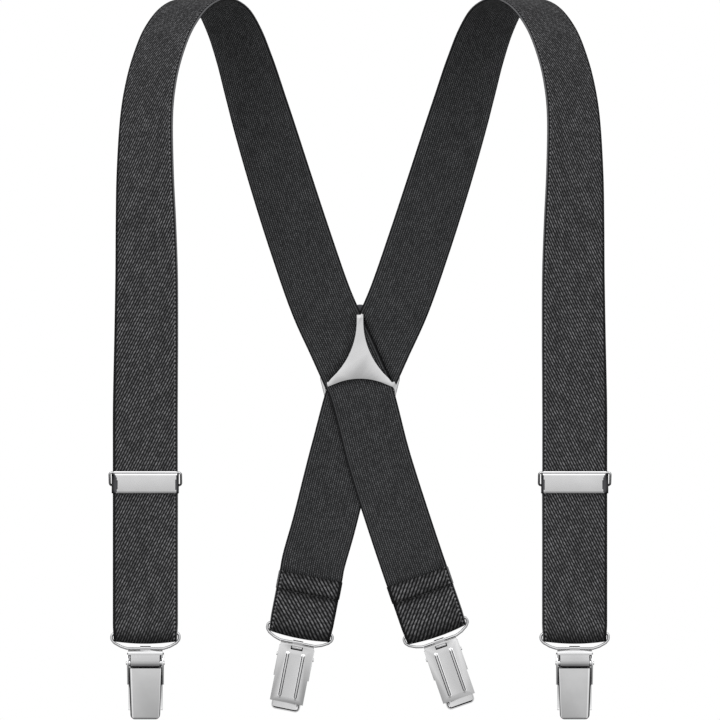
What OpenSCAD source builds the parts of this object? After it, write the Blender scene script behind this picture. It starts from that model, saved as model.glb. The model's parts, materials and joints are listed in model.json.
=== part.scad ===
// X-back clip suspenders, standing as they are worn.
// Millimetres. +Z is up, -Y is the wearer's front, -X is the left side as seen from the front.
// The origin lies midway between the two shoulder crests, level with the underside of the webbing there.

/* [Webbing] */
// Width of the elastic webbing
web_w = 35; // [34.6:0.1:35]
// Thickness of the elastic webbing
web_t = 1.5; // [1.2:0.1:1.5]
// Height of the folded rear ends above their rings
flap_h = 29.7; // [28:0.1:29.7]

/* [Back plate] */
// Thickness of the back plate
plate_t = 1.2; // [0.8:0.1:1.2]
// Middle of the back plate, front to back
plate_y = 42; // [41.8:0.1:42.2]

/* [Front adjusters] */
// Width of the adjuster cover
cover_w = 36.2; // [36.2:0.1:36.8]
// Sheet thickness of the adjuster cover
cover_t = 0.7; // [0.5:0.1:0.7]
// Radius of the adjuster's bent wire
bail_r = 0.6; // [0.5:0.05:0.6]

/* [Clips] */
// Radius of the clip ring's wire
ring_r = 0.7; // [0.6:0.05:0.7]
// Drop from the ring's top bar to its lower bar
ring_drop = 8.3; // [8.3:0.1:8.7]
// Width of the lever cover
lever_w = 17.7; // [17.5:0.1:17.8]
// Length of the clip below its ring
clip_len = 37.9; // [37:0.1:39]
// Sheet thickness of the clip's pressed parts
sheet_t = 0.8; // [0.6:0.1:0.8]

/* [Hidden] */
// where each clip ring hangs: name, top bar centre, tilt about Y, turn about Z
CLIPS = [
  ["front_left", [-115.5, -40.45, -342.5], 0, 0],
  ["front_right", [115.5, -40.45, -342.5], 0, 0],
  ["back_left", [-32.65, 39.8, -343.22], 11, 180],
  ["back_right", [40.98, 38, -342.37], -19, 180],
];
SIDES = ["left", "right"];
CLIP_PARTS = ["ring", "clip_body", "clip_jaw", "clip_lever", "clip_pin"];
SIDE_PARTS = [
  "front_web", "lower_front_web", "front_fold", "tail_web", "tail_end", "tail_stitches",
  "shoulder_web", "back_web", "back_leg", "back_fold", "back_stitches",
  "adjuster_cover", "adjuster_bail",
];

web_half = web_w / 2;
wire_gap = 0.08;                                // room between a wire and the cloth folded round it
fold_r = ring_r + wire_gap + web_t / 2;         // middle of the cloth round a ring's bar
front_y = -42;                                  // middle of the front webbing, front to back
cloth_gap = 0.3;                                // room between cloth and metal
behind_plate = plate_y + plate_t / 2 + cloth_gap + web_t / 2;
layer_step = web_t + cloth_gap;                 // from one strap to the other where they cross
fold_top = 6.7;                                 // where the flat cloth above a ring's fold begins
seam_z = 19.1;                                  // height of the stitch line on the rear fold
tail_top = -23;                                 // where the sewn end of the tail begins
seam_gap = 0.05;                                // between lengths of webbing on different bodies

// Left strap, from the front adjuster over the shoulder to the crossing: x, y, z, turn of its face
strap_route = [
  [-115.5, -42, -262, 0],
  [-115.5, -42, -243, 0],
  [-115.5, -42, -225, 0],
  [-115.3, -42, -205, 5],
  [-115, -42, -183, 9],
  [-114.8, -42, -150, 14],
  [-115.2, -41.9, -122, 20],
  [-115.6, -41.6, -95, 27],
  [-115, -40, -66, 34],
  [-112.8, -37, -47, 37],
  [-109, -31.5, -31, 38],
  [-103.3, -23.5, -16, 38],
  [-95, -12.5, -4.2, 38],
  [-85.2, 0, 0.75, 37],
  [-75.6, 12.5, -3.7, 34],
  [-69, 22.5, -15, 30],
  [-63.3, 31.5, -31, 26],
  [-58.2, 37, -48.5, 21],
  [-53.4, 39.6, -65, 17],
  [-43.8, 40.4, -96.5, 10],
  [-33, 40.4, -130, 4],
  [-21.5, 40.4, -163, 0],
  [-10.7, 40.4, -187, 0],
  [0, 40.4, -211, 0],
];
front_end = 9;      // route station where the front webbing meets the shoulder webbing
back_start = 17;    // route station where the shoulder webbing meets the back webbing
fine_start = 20;    // from here the webbing bends round the plate
back_end = 22.85;   // route station where the back webbing meets the leg
leg_start = back_end - 22;
leg_end = 5.995;    // just clear of the fold that the leg meets
cross_columns = 9;  // strips across the webbing where it bends round the plate

// Rear legs below the crossing, each ending at the top of its fold
right_leg_route = [
  [-10.7, 40.4, -187, 0],
  [0, 38.6, -211, 0],
  [9, 38.6, -245, 0],
  [13.9, 38.6, -261.6, 0],
  [21.9, 39, -286.4, 0],
  [28.37, 39.5, -305.79, 0],
  [31.3, 39.53, -314.3, 0],
];
left_leg_route = [
  [10.7, 40.4, -187, 0],
  [0, 40.4, -211, 0],
  [-9.4, 40.4, -245, 0],
  [-13.7, 40.5, -261.6, 0],
  [-19.9, 40.8, -286.4, 0],
  [-25.26, 41.3, -305.27, 0],
  [-26.98, 41.33, -314.1, 0],
];

// Back plate outline
web_top = -170;                                 // top of the plate's middle web
web_foot = -205.4;                              // where the web's curved sides end
web_half_top = 2;                               // half width of the web at its top
side_r = 42.4;                                  // radius of the web's curved sides
side_z = -174;                                  // height of the centre of those curves
arch_r = 34.5;                                  // radius of the arch under the web
arch_top = -206;                                // highest point of that arch
slot_floor = -214.5;                            // lower edge of the bottom slot
slot_end_x = 19;                                // end of the bottom slot
rim_x = 21.9;                                   // widest part of the rim
rim_bottom = -220;

// Adjuster, measured from its own place on the front strap
adjuster_at = [-115.5, 0, -262];
hinge_at = [0, -43.9, 6];                       // axis of the cover's rolled top edge
roll_r = 1;                                     // radius of that rolled edge
rear_bar_at = [0, -38.45, -1];                  // wire that the webbing end is sewn round
bail_x = 19.2;                                  // side arms of the wire
tail_y = rear_bar_at.y - bail_r - wire_gap - web_t / 2;

// Clip, measured from the ring's lower bar
ring_x = 18.35;                                 // side of the ring at the top
ring_side = 3.5;                                // how far its sides run straight down
ring_foot_x = 9.8;                              // end of the lower bar
pin_at = [0, -1.6, -7.8];
pin_r = 0.9;
pin_len = 20.8;
pin_gap = 0.05;
lever_face = -4.8;                              // outer face of the lever cover
back_face = 3;                                  // outer face of the clip body

function unit(v) = v / norm(v);
function ease(u) = let (c = max(0, min(1, u))) c * c * (3 - 2 * c);
function arc(c, r, a0, a1, n) = [for (i = [0:n]) let (a = a0 + (a1 - a0) * i / n) c + r * [cos(a), sin(a)]];
function flip_x(route) = [for (p = route) [-p.x, p.y, p.z, -p[3]]];

// A smooth curve through the stations of a route
function curve(a, b, c, d, u) =
  0.5 * (2 * b + (c - a) * u + (2 * a - 5 * b + 4 * c - d) * u * u + (3 * b - a - 3 * c + d) * u * u * u);
function station(route, t) =
  let (
    last = len(route) - 1,
    i = max(0, min(floor(t), last - 1)),
    before = i > 0 ? route[i - 1] : 2 * route[0] - route[1],
    after = i + 2 <= last ? route[i + 2] : 2 * route[last] - route[last - 1]
  )
  curve(before, route[i], route[i + 1], after, t - i);
function place(p) = [p.x, p.y, p.z];

// Half width of the plate's middle web at height z
function web_side(z) =
  z > side_z ? web_half_top : web_half_top + side_r - sqrt(max(0, side_r * side_r - (z - side_z) * (z - side_z)));

// Inner edge of the left strap where it crosses in front, at height z
function upper_edge(z) = 8.5 + 0.446 * (-187 - z);

// How far a point of a strap has passed behind the plate's middle web, from 0 to 1.
// from_side is -1 for the strap that comes from the left and 1 for the other, which
// must already be behind the first one's edge.
function behind(x, z, from_side) =
  let (
    slot = from_side < 0 ? web_side(max(z, web_foot)) + 2.4 : upper_edge(z) + 1.05,
    reach = from_side < 0 ? 4 : 3
  )
  ease((slot - from_side * x) / reach + 0.5) * ease((web_top + 2 - z) / 5) * ease((z - slot_floor) / 6.5);
function threaded(p, from_side) =
  let (
    b = behind(p.x, p.z, from_side),
    depth = behind_plate + (from_side > 0 ? layer_step : 0)
  )
  [p.x, p.y + (depth - p.y) * b, p.z];

// One cross-section of webbing: a row of points on each face
function section(route, t, columns, from_side) =
  let (
    here = station(route, t),
    along = unit(place(station(route, t + 0.02)) - place(station(route, t - 0.02))),
    flat = [cos(here[3]), -sin(here[3]), 0],
    across = unit(flat - (flat * along) * along),
    out = cross(across, along)
  )
  [
    for (face = [-1, 1])
      for (k = [0:columns])
        let (
          side = face * (2 * k / columns - 1) * web_half,
          p = place(here) + across * side
        )
        (from_side == 0 ? p : threaded(p, from_side)) + out * face * web_t / 2
  ];

function stops(from, to, steps) = [for (i = [0:steps]) from + (to - from) * i / steps];

// A length of webbing swept along a route through a list of stations
module webbing(route, at, columns = 1, from_side = 0) {
  n = 2 * (columns + 1);
  steps = len(at) - 1;
  points = [for (t = at) each section(route, t, columns, from_side)];
  sides = [
    for (i = [0:steps - 1])
      for (k = [0:n - 1])
        let (a = i * n + k, b = i * n + (k + 1) % n)
        each [[a, b, b + n], [a, b + n, a + n]]
  ];
  bottom = [for (k = [n - 1:-1:0]) k];
  top = [for (k = [0:n - 1]) steps * n + k];
  polyhedron(points, concat(sides, [bottom, top]), convexity = 6);
}

// A strip of even thickness along a path drawn in the Y-Z plane
module strip(path, t) {
  last = len(path) - 1;
  normals = [
    for (i = [0:last])
      let (d = unit(path[min(i + 1, last)] - path[max(i - 1, 0)]))
      [-d.y, d.x]
  ];
  polygon(concat(
    [for (i = [0:last]) path[i] + normals[i] * t / 2],
    [for (i = [last:-1:0]) path[i] - normals[i] * t / 2]
  ));
}

// Turns a Y-Z drawing into a solid of width w, centred on x
module across_x(w, x = 0) {
  translate([x - w / 2, 0, 0])
    rotate([90, 0, 90])
      linear_extrude(w)
        children();
}

module rod_x(r, len, at = [0, 0, 0]) {
  translate(at)
    rotate([0, 90, 0])
      cylinder(r = r, h = len, center = true, $fn = 48);
}

// Wire of radius r through a list of points, with a slightly fatter bend at each corner
module wire(points, r, closed = false) {
  n = len(points);
  for (i = [0:closed ? n - 1 : n - 2]) {
    a = points[i];
    d = points[(i + 1) % n] - a;
    translate(a)
      rotate([0, acos(d.z / norm(d)), atan2(d.y, d.x)])
        cylinder(r = r, h = norm(d), $fn = 32);
  }
  for (i = [closed ? 0 : 1:closed ? n - 1 : n - 2])
    translate(points[i]) sphere(r = r * 1.06, $fn = 32);
}

module at_clip(c) {
  translate(c[1])
    rotate([0, c[2], 0])
      rotate([0, 0, c[3]])
        children();
}

module at_side(s) {
  mirror([s == "left" ? 0 : 1, 0, 0])
    children();
}

// ---- straps ----

module front_web() {
  color("#242426") webbing(strap_route, stops(0, front_end, 35));
}

module shoulder_web() {
  color("#242426") webbing(strap_route, stops(front_end, back_start, 40));
}

module back_web(s) {
  from_side = s == "left" ? -1 : 1;
  route = s == "left" ? strap_route : flip_x(strap_route);
  at = concat(stops(back_start, fine_start, 9), stops(fine_start + 0.11, back_end, 24));
  color("#2a2a2d") webbing(route, at, cross_columns, from_side);
}

module back_leg(s) {
  // the left leg belongs to the strap from the right shoulder
  route = s == "left" ? left_leg_route : right_leg_route;
  from_side = s == "left" ? 1 : -1;
  at = concat(stops(leg_start, 2, 20), stops(2.2, leg_end, 15));
  color("#2a2a2d") webbing(route, at, cross_columns, from_side);
}

module lower_front_web() {
  top = adjuster_at.z;
  foot = CLIPS[0][1].z + fold_top;
  color("#242426")
    translate([adjuster_at.x, front_y, (top + foot) / 2])
      cube([web_w, web_t, top - foot], center = true);
}

module front_fold() {
  path = concat([[-fold_r, fold_top]], arc([0, 0], fold_r, 180, 360, 16), [[fold_r, fold_top]]);
  color("#242426")
    at_clip(CLIPS[0])
      across_x(web_w)
        strip(path, web_t);
}

module tail_web() {
  foot = [CLIPS[0][1].y + fold_r, CLIPS[0][1].z + fold_top];
  color("#2a2a2d")
    across_x(web_w, adjuster_at.x)
      strip([foot, [tail_y, adjuster_at.z + tail_top - seam_gap]], web_t);
}

module tail_end() {
  r = bail_r + wire_gap + web_t / 2;
  top = [rear_bar_at.y, rear_bar_at.z];
  path = concat(
    [[tail_y, tail_top]],
    arc(top, r, 180, 0, 12),
    [[tail_y + 2, -8], [tail_y + web_t + 0.1, -11], [tail_y + web_t + 0.1, -22]]
  );
  color("#2a2a2d")
    translate(adjuster_at)
      across_x(web_w)
        strip(path, web_t);
}

// A row of short stitches along X
module stitch_row(w, pitch, at) {
  n = floor(w / pitch);
  for (i = [0:n - 1])
    translate(at + [(i - (n - 1) / 2) * pitch, 0, 0])
      rotate([0, 90, 0])
        cylinder(r = 0.28, h = pitch * 0.62, center = true, $fn = 16);
}

module tail_stitches() {
  color("#1a1a1c")
    translate(adjuster_at)
      for (z = [-13, -20])
        stitch_row(web_w - 4, 2.6, [0, tail_y + 1.5 * web_t + 0.2, z]);
}

module back_fold(c) {
  flap = concat(
    [[fold_r, flap_h]],
    arc([0, 0], fold_r, 0, -180, 16),
    [[-fold_r - 0.1, fold_top], [-fold_r + 0.2, 12.7], [-0.35, seam_z - 1.9], [-0.05, seam_z + 0.6]]
  );
  hem_y = [-2.3, fold_r - web_t / 2];
  color("#242426")
    at_clip([c[0], c[1], c[2], 0])
      across_x(web_w) {
        strip(flap, web_t);
        translate([0, seam_z + 1])
          hem(hem_y, flap_h - seam_z - 1.4);
      }
}

// The rolled hem, a slab with a rounded outer side
module hem(y_range, height) {
  r = 1.4;
  polygon(concat(
    [[y_range[1], 0]],
    arc([y_range[0] + r, r], r, 270, 180, 8),
    arc([y_range[0] + r, height - r], r, 180, 90, 8),
    [[y_range[1], height]]
  ));
}

module back_stitches(c) {
  color("#1a1a1c")
    at_clip([c[0], c[1], c[2], 0])
      stitch_row(web_w - 2, 2.4, [0, -0.95, seam_z]);
}

// ---- back plate ----

module plate_outline() {
  right = concat(
    arc([0, web_top - 1.5], 6.6, 90, 24, 8),
    arc([rim_x - 7, -205.5], 7, 24, -8, 6),
    arc([13, rim_bottom + 7], 7, -8, -90, 8)
  );
  polygon(concat(right, [for (i = [len(right) - 1:-1:0]) [-right[i].x, right[i].y]]));
}

// Slanted slot on the left, between the middle web and the rim
module side_slot() {
  side = [for (i = [0:12]) let (z = web_top + (web_foot - web_top) * i / 12) [-web_side(z), z]];
  polygon(concat(
    side,
    [[-17.6, -207.6], [-18.8, -207.2], [-19.3, -206], [-18.9, -204]],
    [[-3.9, web_top - 0.8], [-3.2, web_top]]
  ));
}

module bottom_slot() {
  reach = asin(14.2 / arch_r);
  polygon(concat(
    arc([0, arch_top - arch_r], arch_r, 90 - reach, 90 + reach, 14),
    [[-slot_end_x + 1, -210.6], [-slot_end_x, -212.2], [-slot_end_x + 1.4, slot_floor]],
    [[slot_end_x - 1.4, slot_floor], [slot_end_x, -212.2], [slot_end_x - 1, -210.6]]
  ));
}

module back_plate() {
  color("#cfcfcf")
    translate([0, plate_y + plate_t / 2, 0])
      rotate([90, 0, 0])
        linear_extrude(plate_t)
          difference() {
            plate_outline();
            side_slot();
            mirror([1, 0]) side_slot();
            bottom_slot();
          }
}

// ---- front adjuster ----

module adjuster_cover() {
  face_y = hinge_at.y - roll_r + 0.12;
  height = 11.9;
  flange_t = 0.3;
  profile = concat(
    [[face_y + cover_t / 2, 0]],
    arc([face_y + cover_t / 2 + 0.6, -height + 0.9], 0.6, 180, 270, 6),
    [[front_y - web_t / 2 - 0.25, -height + 0.3]]
  );
  bore_len = 4.6;
  color("#cfcfcf")
    translate(adjuster_at + [0, 0, hinge_at.z])
      difference() {
        union() {
          across_x(cover_w) strip(profile, cover_t);
          rod_x(roll_r, cover_w, [0, hinge_at.y, 0]);
          for (x = [-1, 1])
            across_x(flange_t, x * (cover_w - flange_t) / 2)
              polygon([
                [face_y + 0.1, -1], [face_y + 0.1, -height + 0.6], [-41.6, -height + 0.6],
                [-41.2, -height + 2], [-41.2, -5], [-42.6, -2.2], [face_y + 1, -0.6],
              ]);
        }
        for (x = [-1, 1])
          rod_x(bail_r + pin_gap, bore_len, [x * (cover_w / 2 - bore_len / 2 + 0.1), hinge_at.y, 0]);
      }
}

module adjuster_bail() {
  end_x = 14.2;
  front = [0, hinge_at.y, hinge_at.z];
  rear = rear_bar_at;
  x = [bail_x, 0, 0];
  color("#c4c4c6")
    translate(adjuster_at)
      wire([front - [end_x, 0, 0], front - x, rear - x, rear + x, front + x, front + [end_x, 0, 0]], bail_r);
}

// ---- clips ----

module clip_ring() {
  color("#c8c8ca")
    wire(
      [
        [-ring_x, 0, 0], [ring_x, 0, 0], [ring_x, 0, -ring_side], [ring_foot_x, 0, -ring_drop],
        [-ring_foot_x, 0, -ring_drop], [-ring_x, 0, -ring_side],
      ],
      ring_r, closed = true
    );
}

module below_ring() {
  translate([0, 0, -ring_drop])
    children();
}

// Back sheet with two pressed ribs, side ears for the pin and a toothed lower edge
module clip_body() {
  plate_w = 18.4;
  ear_w = 19.7;
  top = -1;
  foot = -33.2;
  inner = back_face - sheet_t;
  color("#cfcfcf")
    below_ring()
      difference() {
        union() {
          translate([-plate_w / 2, inner, foot]) cube([plate_w, sheet_t, top - foot]);
          for (x = [-1, 1]) {
            rib(x * 4.3);
            across_x(sheet_t, x * (ear_w - sheet_t) / 2)
              polygon([
                [back_face, -2.4], [back_face, -19.5], [back_face - 1.4, -19.5],
                [-1.2, -12.4], [-3.1, -9.6], [-3.3, -7.4], [-2.4, -5.6], [0.2, -2.4],
              ]);
          }
          toothed_edge(plate_w, inner, foot);
        }
        rod_x(pin_r, 30, pin_at);
        translate([-3.3, inner - 1, -3.9]) cube([6.6, sheet_t + 2, 2]);
      }
}

// One long rib pressed out of the clip's back sheet
module rib(x) {
  rib_r = 1.7;
  sunk = 1.2;
  ends = [-30, -6.5];
  intersection() {
    translate([x, back_face - sunk, 0]) {
      translate([0, 0, ends[0]]) cylinder(r = rib_r, h = ends[1] - ends[0], $fn = 32);
      for (z = ends) translate([0, 0, z]) sphere(r = rib_r, $fn = 32);
    }
    translate([x - 3, back_face - 0.1, -35]) cube([6, 3, 34]);
  }
}

// The edge that bites the cloth: a bent lip cut into teeth
module toothed_edge(w, inner, foot) {
  teeth = 7;
  pitch = w / teeth;
  root_y = 1.25;
  translate([-w / 2, root_y, foot]) cube([w, inner - root_y, sheet_t]);
  for (i = [0:teeth - 1])
    translate([(i + 0.5) * pitch - w / 2, root_y, foot])
      linear_extrude(sheet_t)
        polygon([[-pitch / 2, 0.01], [0, -0.7], [pitch / 2, 0.01]]);
}

// Bent front leaf: rolled tab round the ring, rounded shoulder, leaf and toothed tip
module clip_jaw() {
  t = 0.6;
  roll = ring_r + pin_gap + t / 2;
  shoulder = [
    [-2, -2], [-2.6, -3.5], [-3.05, -5], [-3.5, -6.4], [-3.8, -7.6], [-3.75, -8.7],
    [-3.2, -9.5], [-2, -9.95], [-0.7, -10.3], [-0.2, -11.2],
  ];
  leaf = [[0, -13], [0, -31], [0.15, -32], [0, -33]];
  tab = concat([[-1.1, -1.1]], arc([0, 0], roll, 190, 0, 14), [[roll, -2.4], [roll + 0.4, -2.9], [2.9, -2.9]]);
  color("#c8c8ca")
    below_ring() {
      across_x(15.6) strip(concat([[-1.1, -1.1]], shoulder, leaf), t);
      across_x(18.6) strip([[-1.1, -1.1], [-2, -2], [-2.6, -3.5]], t);
      across_x(5.6) strip(tab, t);
    }
}

// Lever cover with side flanges, cam lobes round the pin and a curled lower lip
module clip_lever() {
  half = lever_w / 2;
  lever_top = -10.5;
  mid = lever_face + sheet_t / 2;
  curl = 1.4;
  face = concat(
    [[mid, lever_top]],
    arc([mid + curl, -clip_len + curl + sheet_t / 2], curl, 180, 270, 8),
    [[1.5, -clip_len + sheet_t / 2]]
  );
  flange = [
    [lever_face + 0.2, lever_top], [lever_face + 0.2, -clip_len + 1.2], [-1.4, -clip_len + 0.6],
    [-1.4, -clip_len + 2.4], [-2, -clip_len + 4], [-2, -12.5], [-0.2, -9.4], [-0.2, -8.6],
    [-2.8, -7.2], [-3.2, -7.6],
  ];
  lobe_r = 1.7;
  color("#d4d4d4")
    below_ring()
      difference() {
        union() {
          across_x(lever_w) strip(face, sheet_t);
          for (x = [-1, 1]) {
            across_x(sheet_t, x * (half - sheet_t / 2)) polygon(flange);
            rod_x(lobe_r, sheet_t, [x * (half - sheet_t / 2), pin_at.y, pin_at.z]);
          }
        }
        rod_x(pin_r + pin_gap, 30, pin_at);
      }
}

module clip_pin() {
  color("#bcbcbe")
    below_ring()
      rod_x(pin_r, pin_len, pin_at);
}

// ---- assembly ----

back_plate();

for (s = SIDES) {
  leg = s == "left" ? CLIPS[2] : CLIPS[3];
  at_side(s) front_web();
  at_side(s) lower_front_web();
  at_side(s) front_fold();
  at_side(s) tail_web();
  at_side(s) tail_end();
  at_side(s) tail_stitches();
  at_side(s) shoulder_web();
  back_web(s);
  back_leg(s);
  back_fold(leg);
  back_stitches(leg);
  at_side(s) adjuster_cover();
  at_side(s) adjuster_bail();
}

for (c = CLIPS) {
  at_clip(c) clip_ring();
  at_clip(c) clip_body();
  at_clip(c) clip_jaw();
  at_clip(c) clip_lever();
  at_clip(c) clip_pin();
}
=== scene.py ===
"""X-back clip suspenders: woven webbing, sewn ends, pressed metal and a plain studio."""

import json
import logging
import math
from collections.abc import Callable
from dataclasses import dataclass
from enum import Enum

import bmesh
import bpy
from mathutils import Matrix, Vector


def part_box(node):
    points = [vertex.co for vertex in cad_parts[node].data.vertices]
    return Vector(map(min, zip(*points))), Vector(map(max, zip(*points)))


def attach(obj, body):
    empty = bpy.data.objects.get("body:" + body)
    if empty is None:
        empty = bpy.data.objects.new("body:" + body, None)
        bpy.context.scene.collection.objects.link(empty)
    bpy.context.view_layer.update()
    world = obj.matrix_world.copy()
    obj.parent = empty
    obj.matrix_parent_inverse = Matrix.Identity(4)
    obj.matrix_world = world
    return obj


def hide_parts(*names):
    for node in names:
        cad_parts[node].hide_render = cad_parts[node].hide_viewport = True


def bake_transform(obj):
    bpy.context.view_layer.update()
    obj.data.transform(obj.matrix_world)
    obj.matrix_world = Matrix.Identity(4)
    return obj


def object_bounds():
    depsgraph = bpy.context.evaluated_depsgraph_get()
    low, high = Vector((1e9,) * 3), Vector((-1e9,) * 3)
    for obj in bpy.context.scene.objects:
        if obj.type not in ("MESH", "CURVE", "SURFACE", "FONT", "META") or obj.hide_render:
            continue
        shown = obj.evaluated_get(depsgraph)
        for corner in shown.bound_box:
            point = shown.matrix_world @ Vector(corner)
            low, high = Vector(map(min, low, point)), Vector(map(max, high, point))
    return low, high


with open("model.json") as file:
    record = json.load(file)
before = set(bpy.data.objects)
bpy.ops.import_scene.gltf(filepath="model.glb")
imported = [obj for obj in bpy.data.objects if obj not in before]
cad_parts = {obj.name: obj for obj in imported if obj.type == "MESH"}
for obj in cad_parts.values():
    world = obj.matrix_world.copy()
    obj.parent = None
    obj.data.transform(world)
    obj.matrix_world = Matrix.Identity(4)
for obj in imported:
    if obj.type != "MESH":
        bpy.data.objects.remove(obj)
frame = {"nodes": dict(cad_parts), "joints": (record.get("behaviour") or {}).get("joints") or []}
CAD_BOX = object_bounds()

log = logging.getLogger("suspenders")

MM = 0.001

Station = tuple[float, float, float, float]
Point2 = tuple[float, float]
Colour = tuple[float, float, float]

# Left strap from the front adjuster over the shoulder to the crossing: x, y, z in mm and turn in degrees.
STRAP_ROUTE: list[Station] = [
    (-115.5, -42, -262, 0), (-115.5, -42, -243, 0), (-115.5, -42, -225, 0), (-115.3, -42, -205, 5),
    (-115, -42, -183, 9), (-114.8, -42, -150, 14), (-115.2, -41.9, -122, 20), (-115.6, -41.6, -95, 27),
    (-115, -40, -66, 34), (-112.8, -37, -47, 37), (-109, -31.5, -31, 38), (-103.3, -23.5, -16, 38),
    (-95, -12.5, -4.2, 38), (-85.2, 0, 0.75, 37), (-75.6, 12.5, -3.7, 34), (-69, 22.5, -15, 30),
    (-63.3, 31.5, -31, 26), (-58.2, 37, -48.5, 21), (-53.4, 39.6, -65, 17), (-43.8, 40.4, -96.5, 10),
    (-33, 40.4, -130, 4), (-21.5, 40.4, -163, 0), (-10.7, 40.4, -187, 0), (0, 40.4, -211, 0),
]
RIGHT_LEG_ROUTE: list[Station] = [
    (-10.7, 40.4, -187, 0), (0, 38.6, -211, 0), (9, 38.6, -245, 0), (13.9, 38.6, -261.6, 0),
    (21.9, 39, -286.4, 0), (28.37, 39.5, -305.79, 0), (31.3, 39.53, -314.3, 0),
]
LEFT_LEG_ROUTE: list[Station] = [
    (10.7, 40.4, -187, 0), (0, 40.4, -211, 0), (-9.4, 40.4, -245, 0), (-13.7, 40.5, -261.6, 0),
    (-19.9, 40.8, -286.4, 0), (-25.26, 41.3, -305.27, 0), (-26.98, 41.33, -314.1, 0),
]
FRONT_END = 9.0
BACK_END = 22.85
LEG_START = BACK_END - 22
LEG_END = 6.0

WEB_HALF = 17.5
WEB_T = 1.5
RING_R = 0.7
FOLD_R = RING_R + 0.08 + WEB_T / 2


def find_joint(name: str) -> dict[str, object]:
    """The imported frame's joint of that name."""
    return next(j for j in frame["joints"] if j["name"] == name)


class Side(Enum):
    """One of the two straps, by the shoulder it lies on."""

    LEFT = "left"
    RIGHT = "right"

    @property
    def sign(self) -> float:
        """-1 on the left and +1 on the right."""
        return -1.0 if self is Side.LEFT else 1.0


class ClipPlace(Enum):
    """Where one of the four clips hangs."""

    FRONT_LEFT = "front_left"
    FRONT_RIGHT = "front_right"
    BACK_LEFT = "back_left"
    BACK_RIGHT = "back_right"


# ---------------------------------------------------------------- finishes


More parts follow.
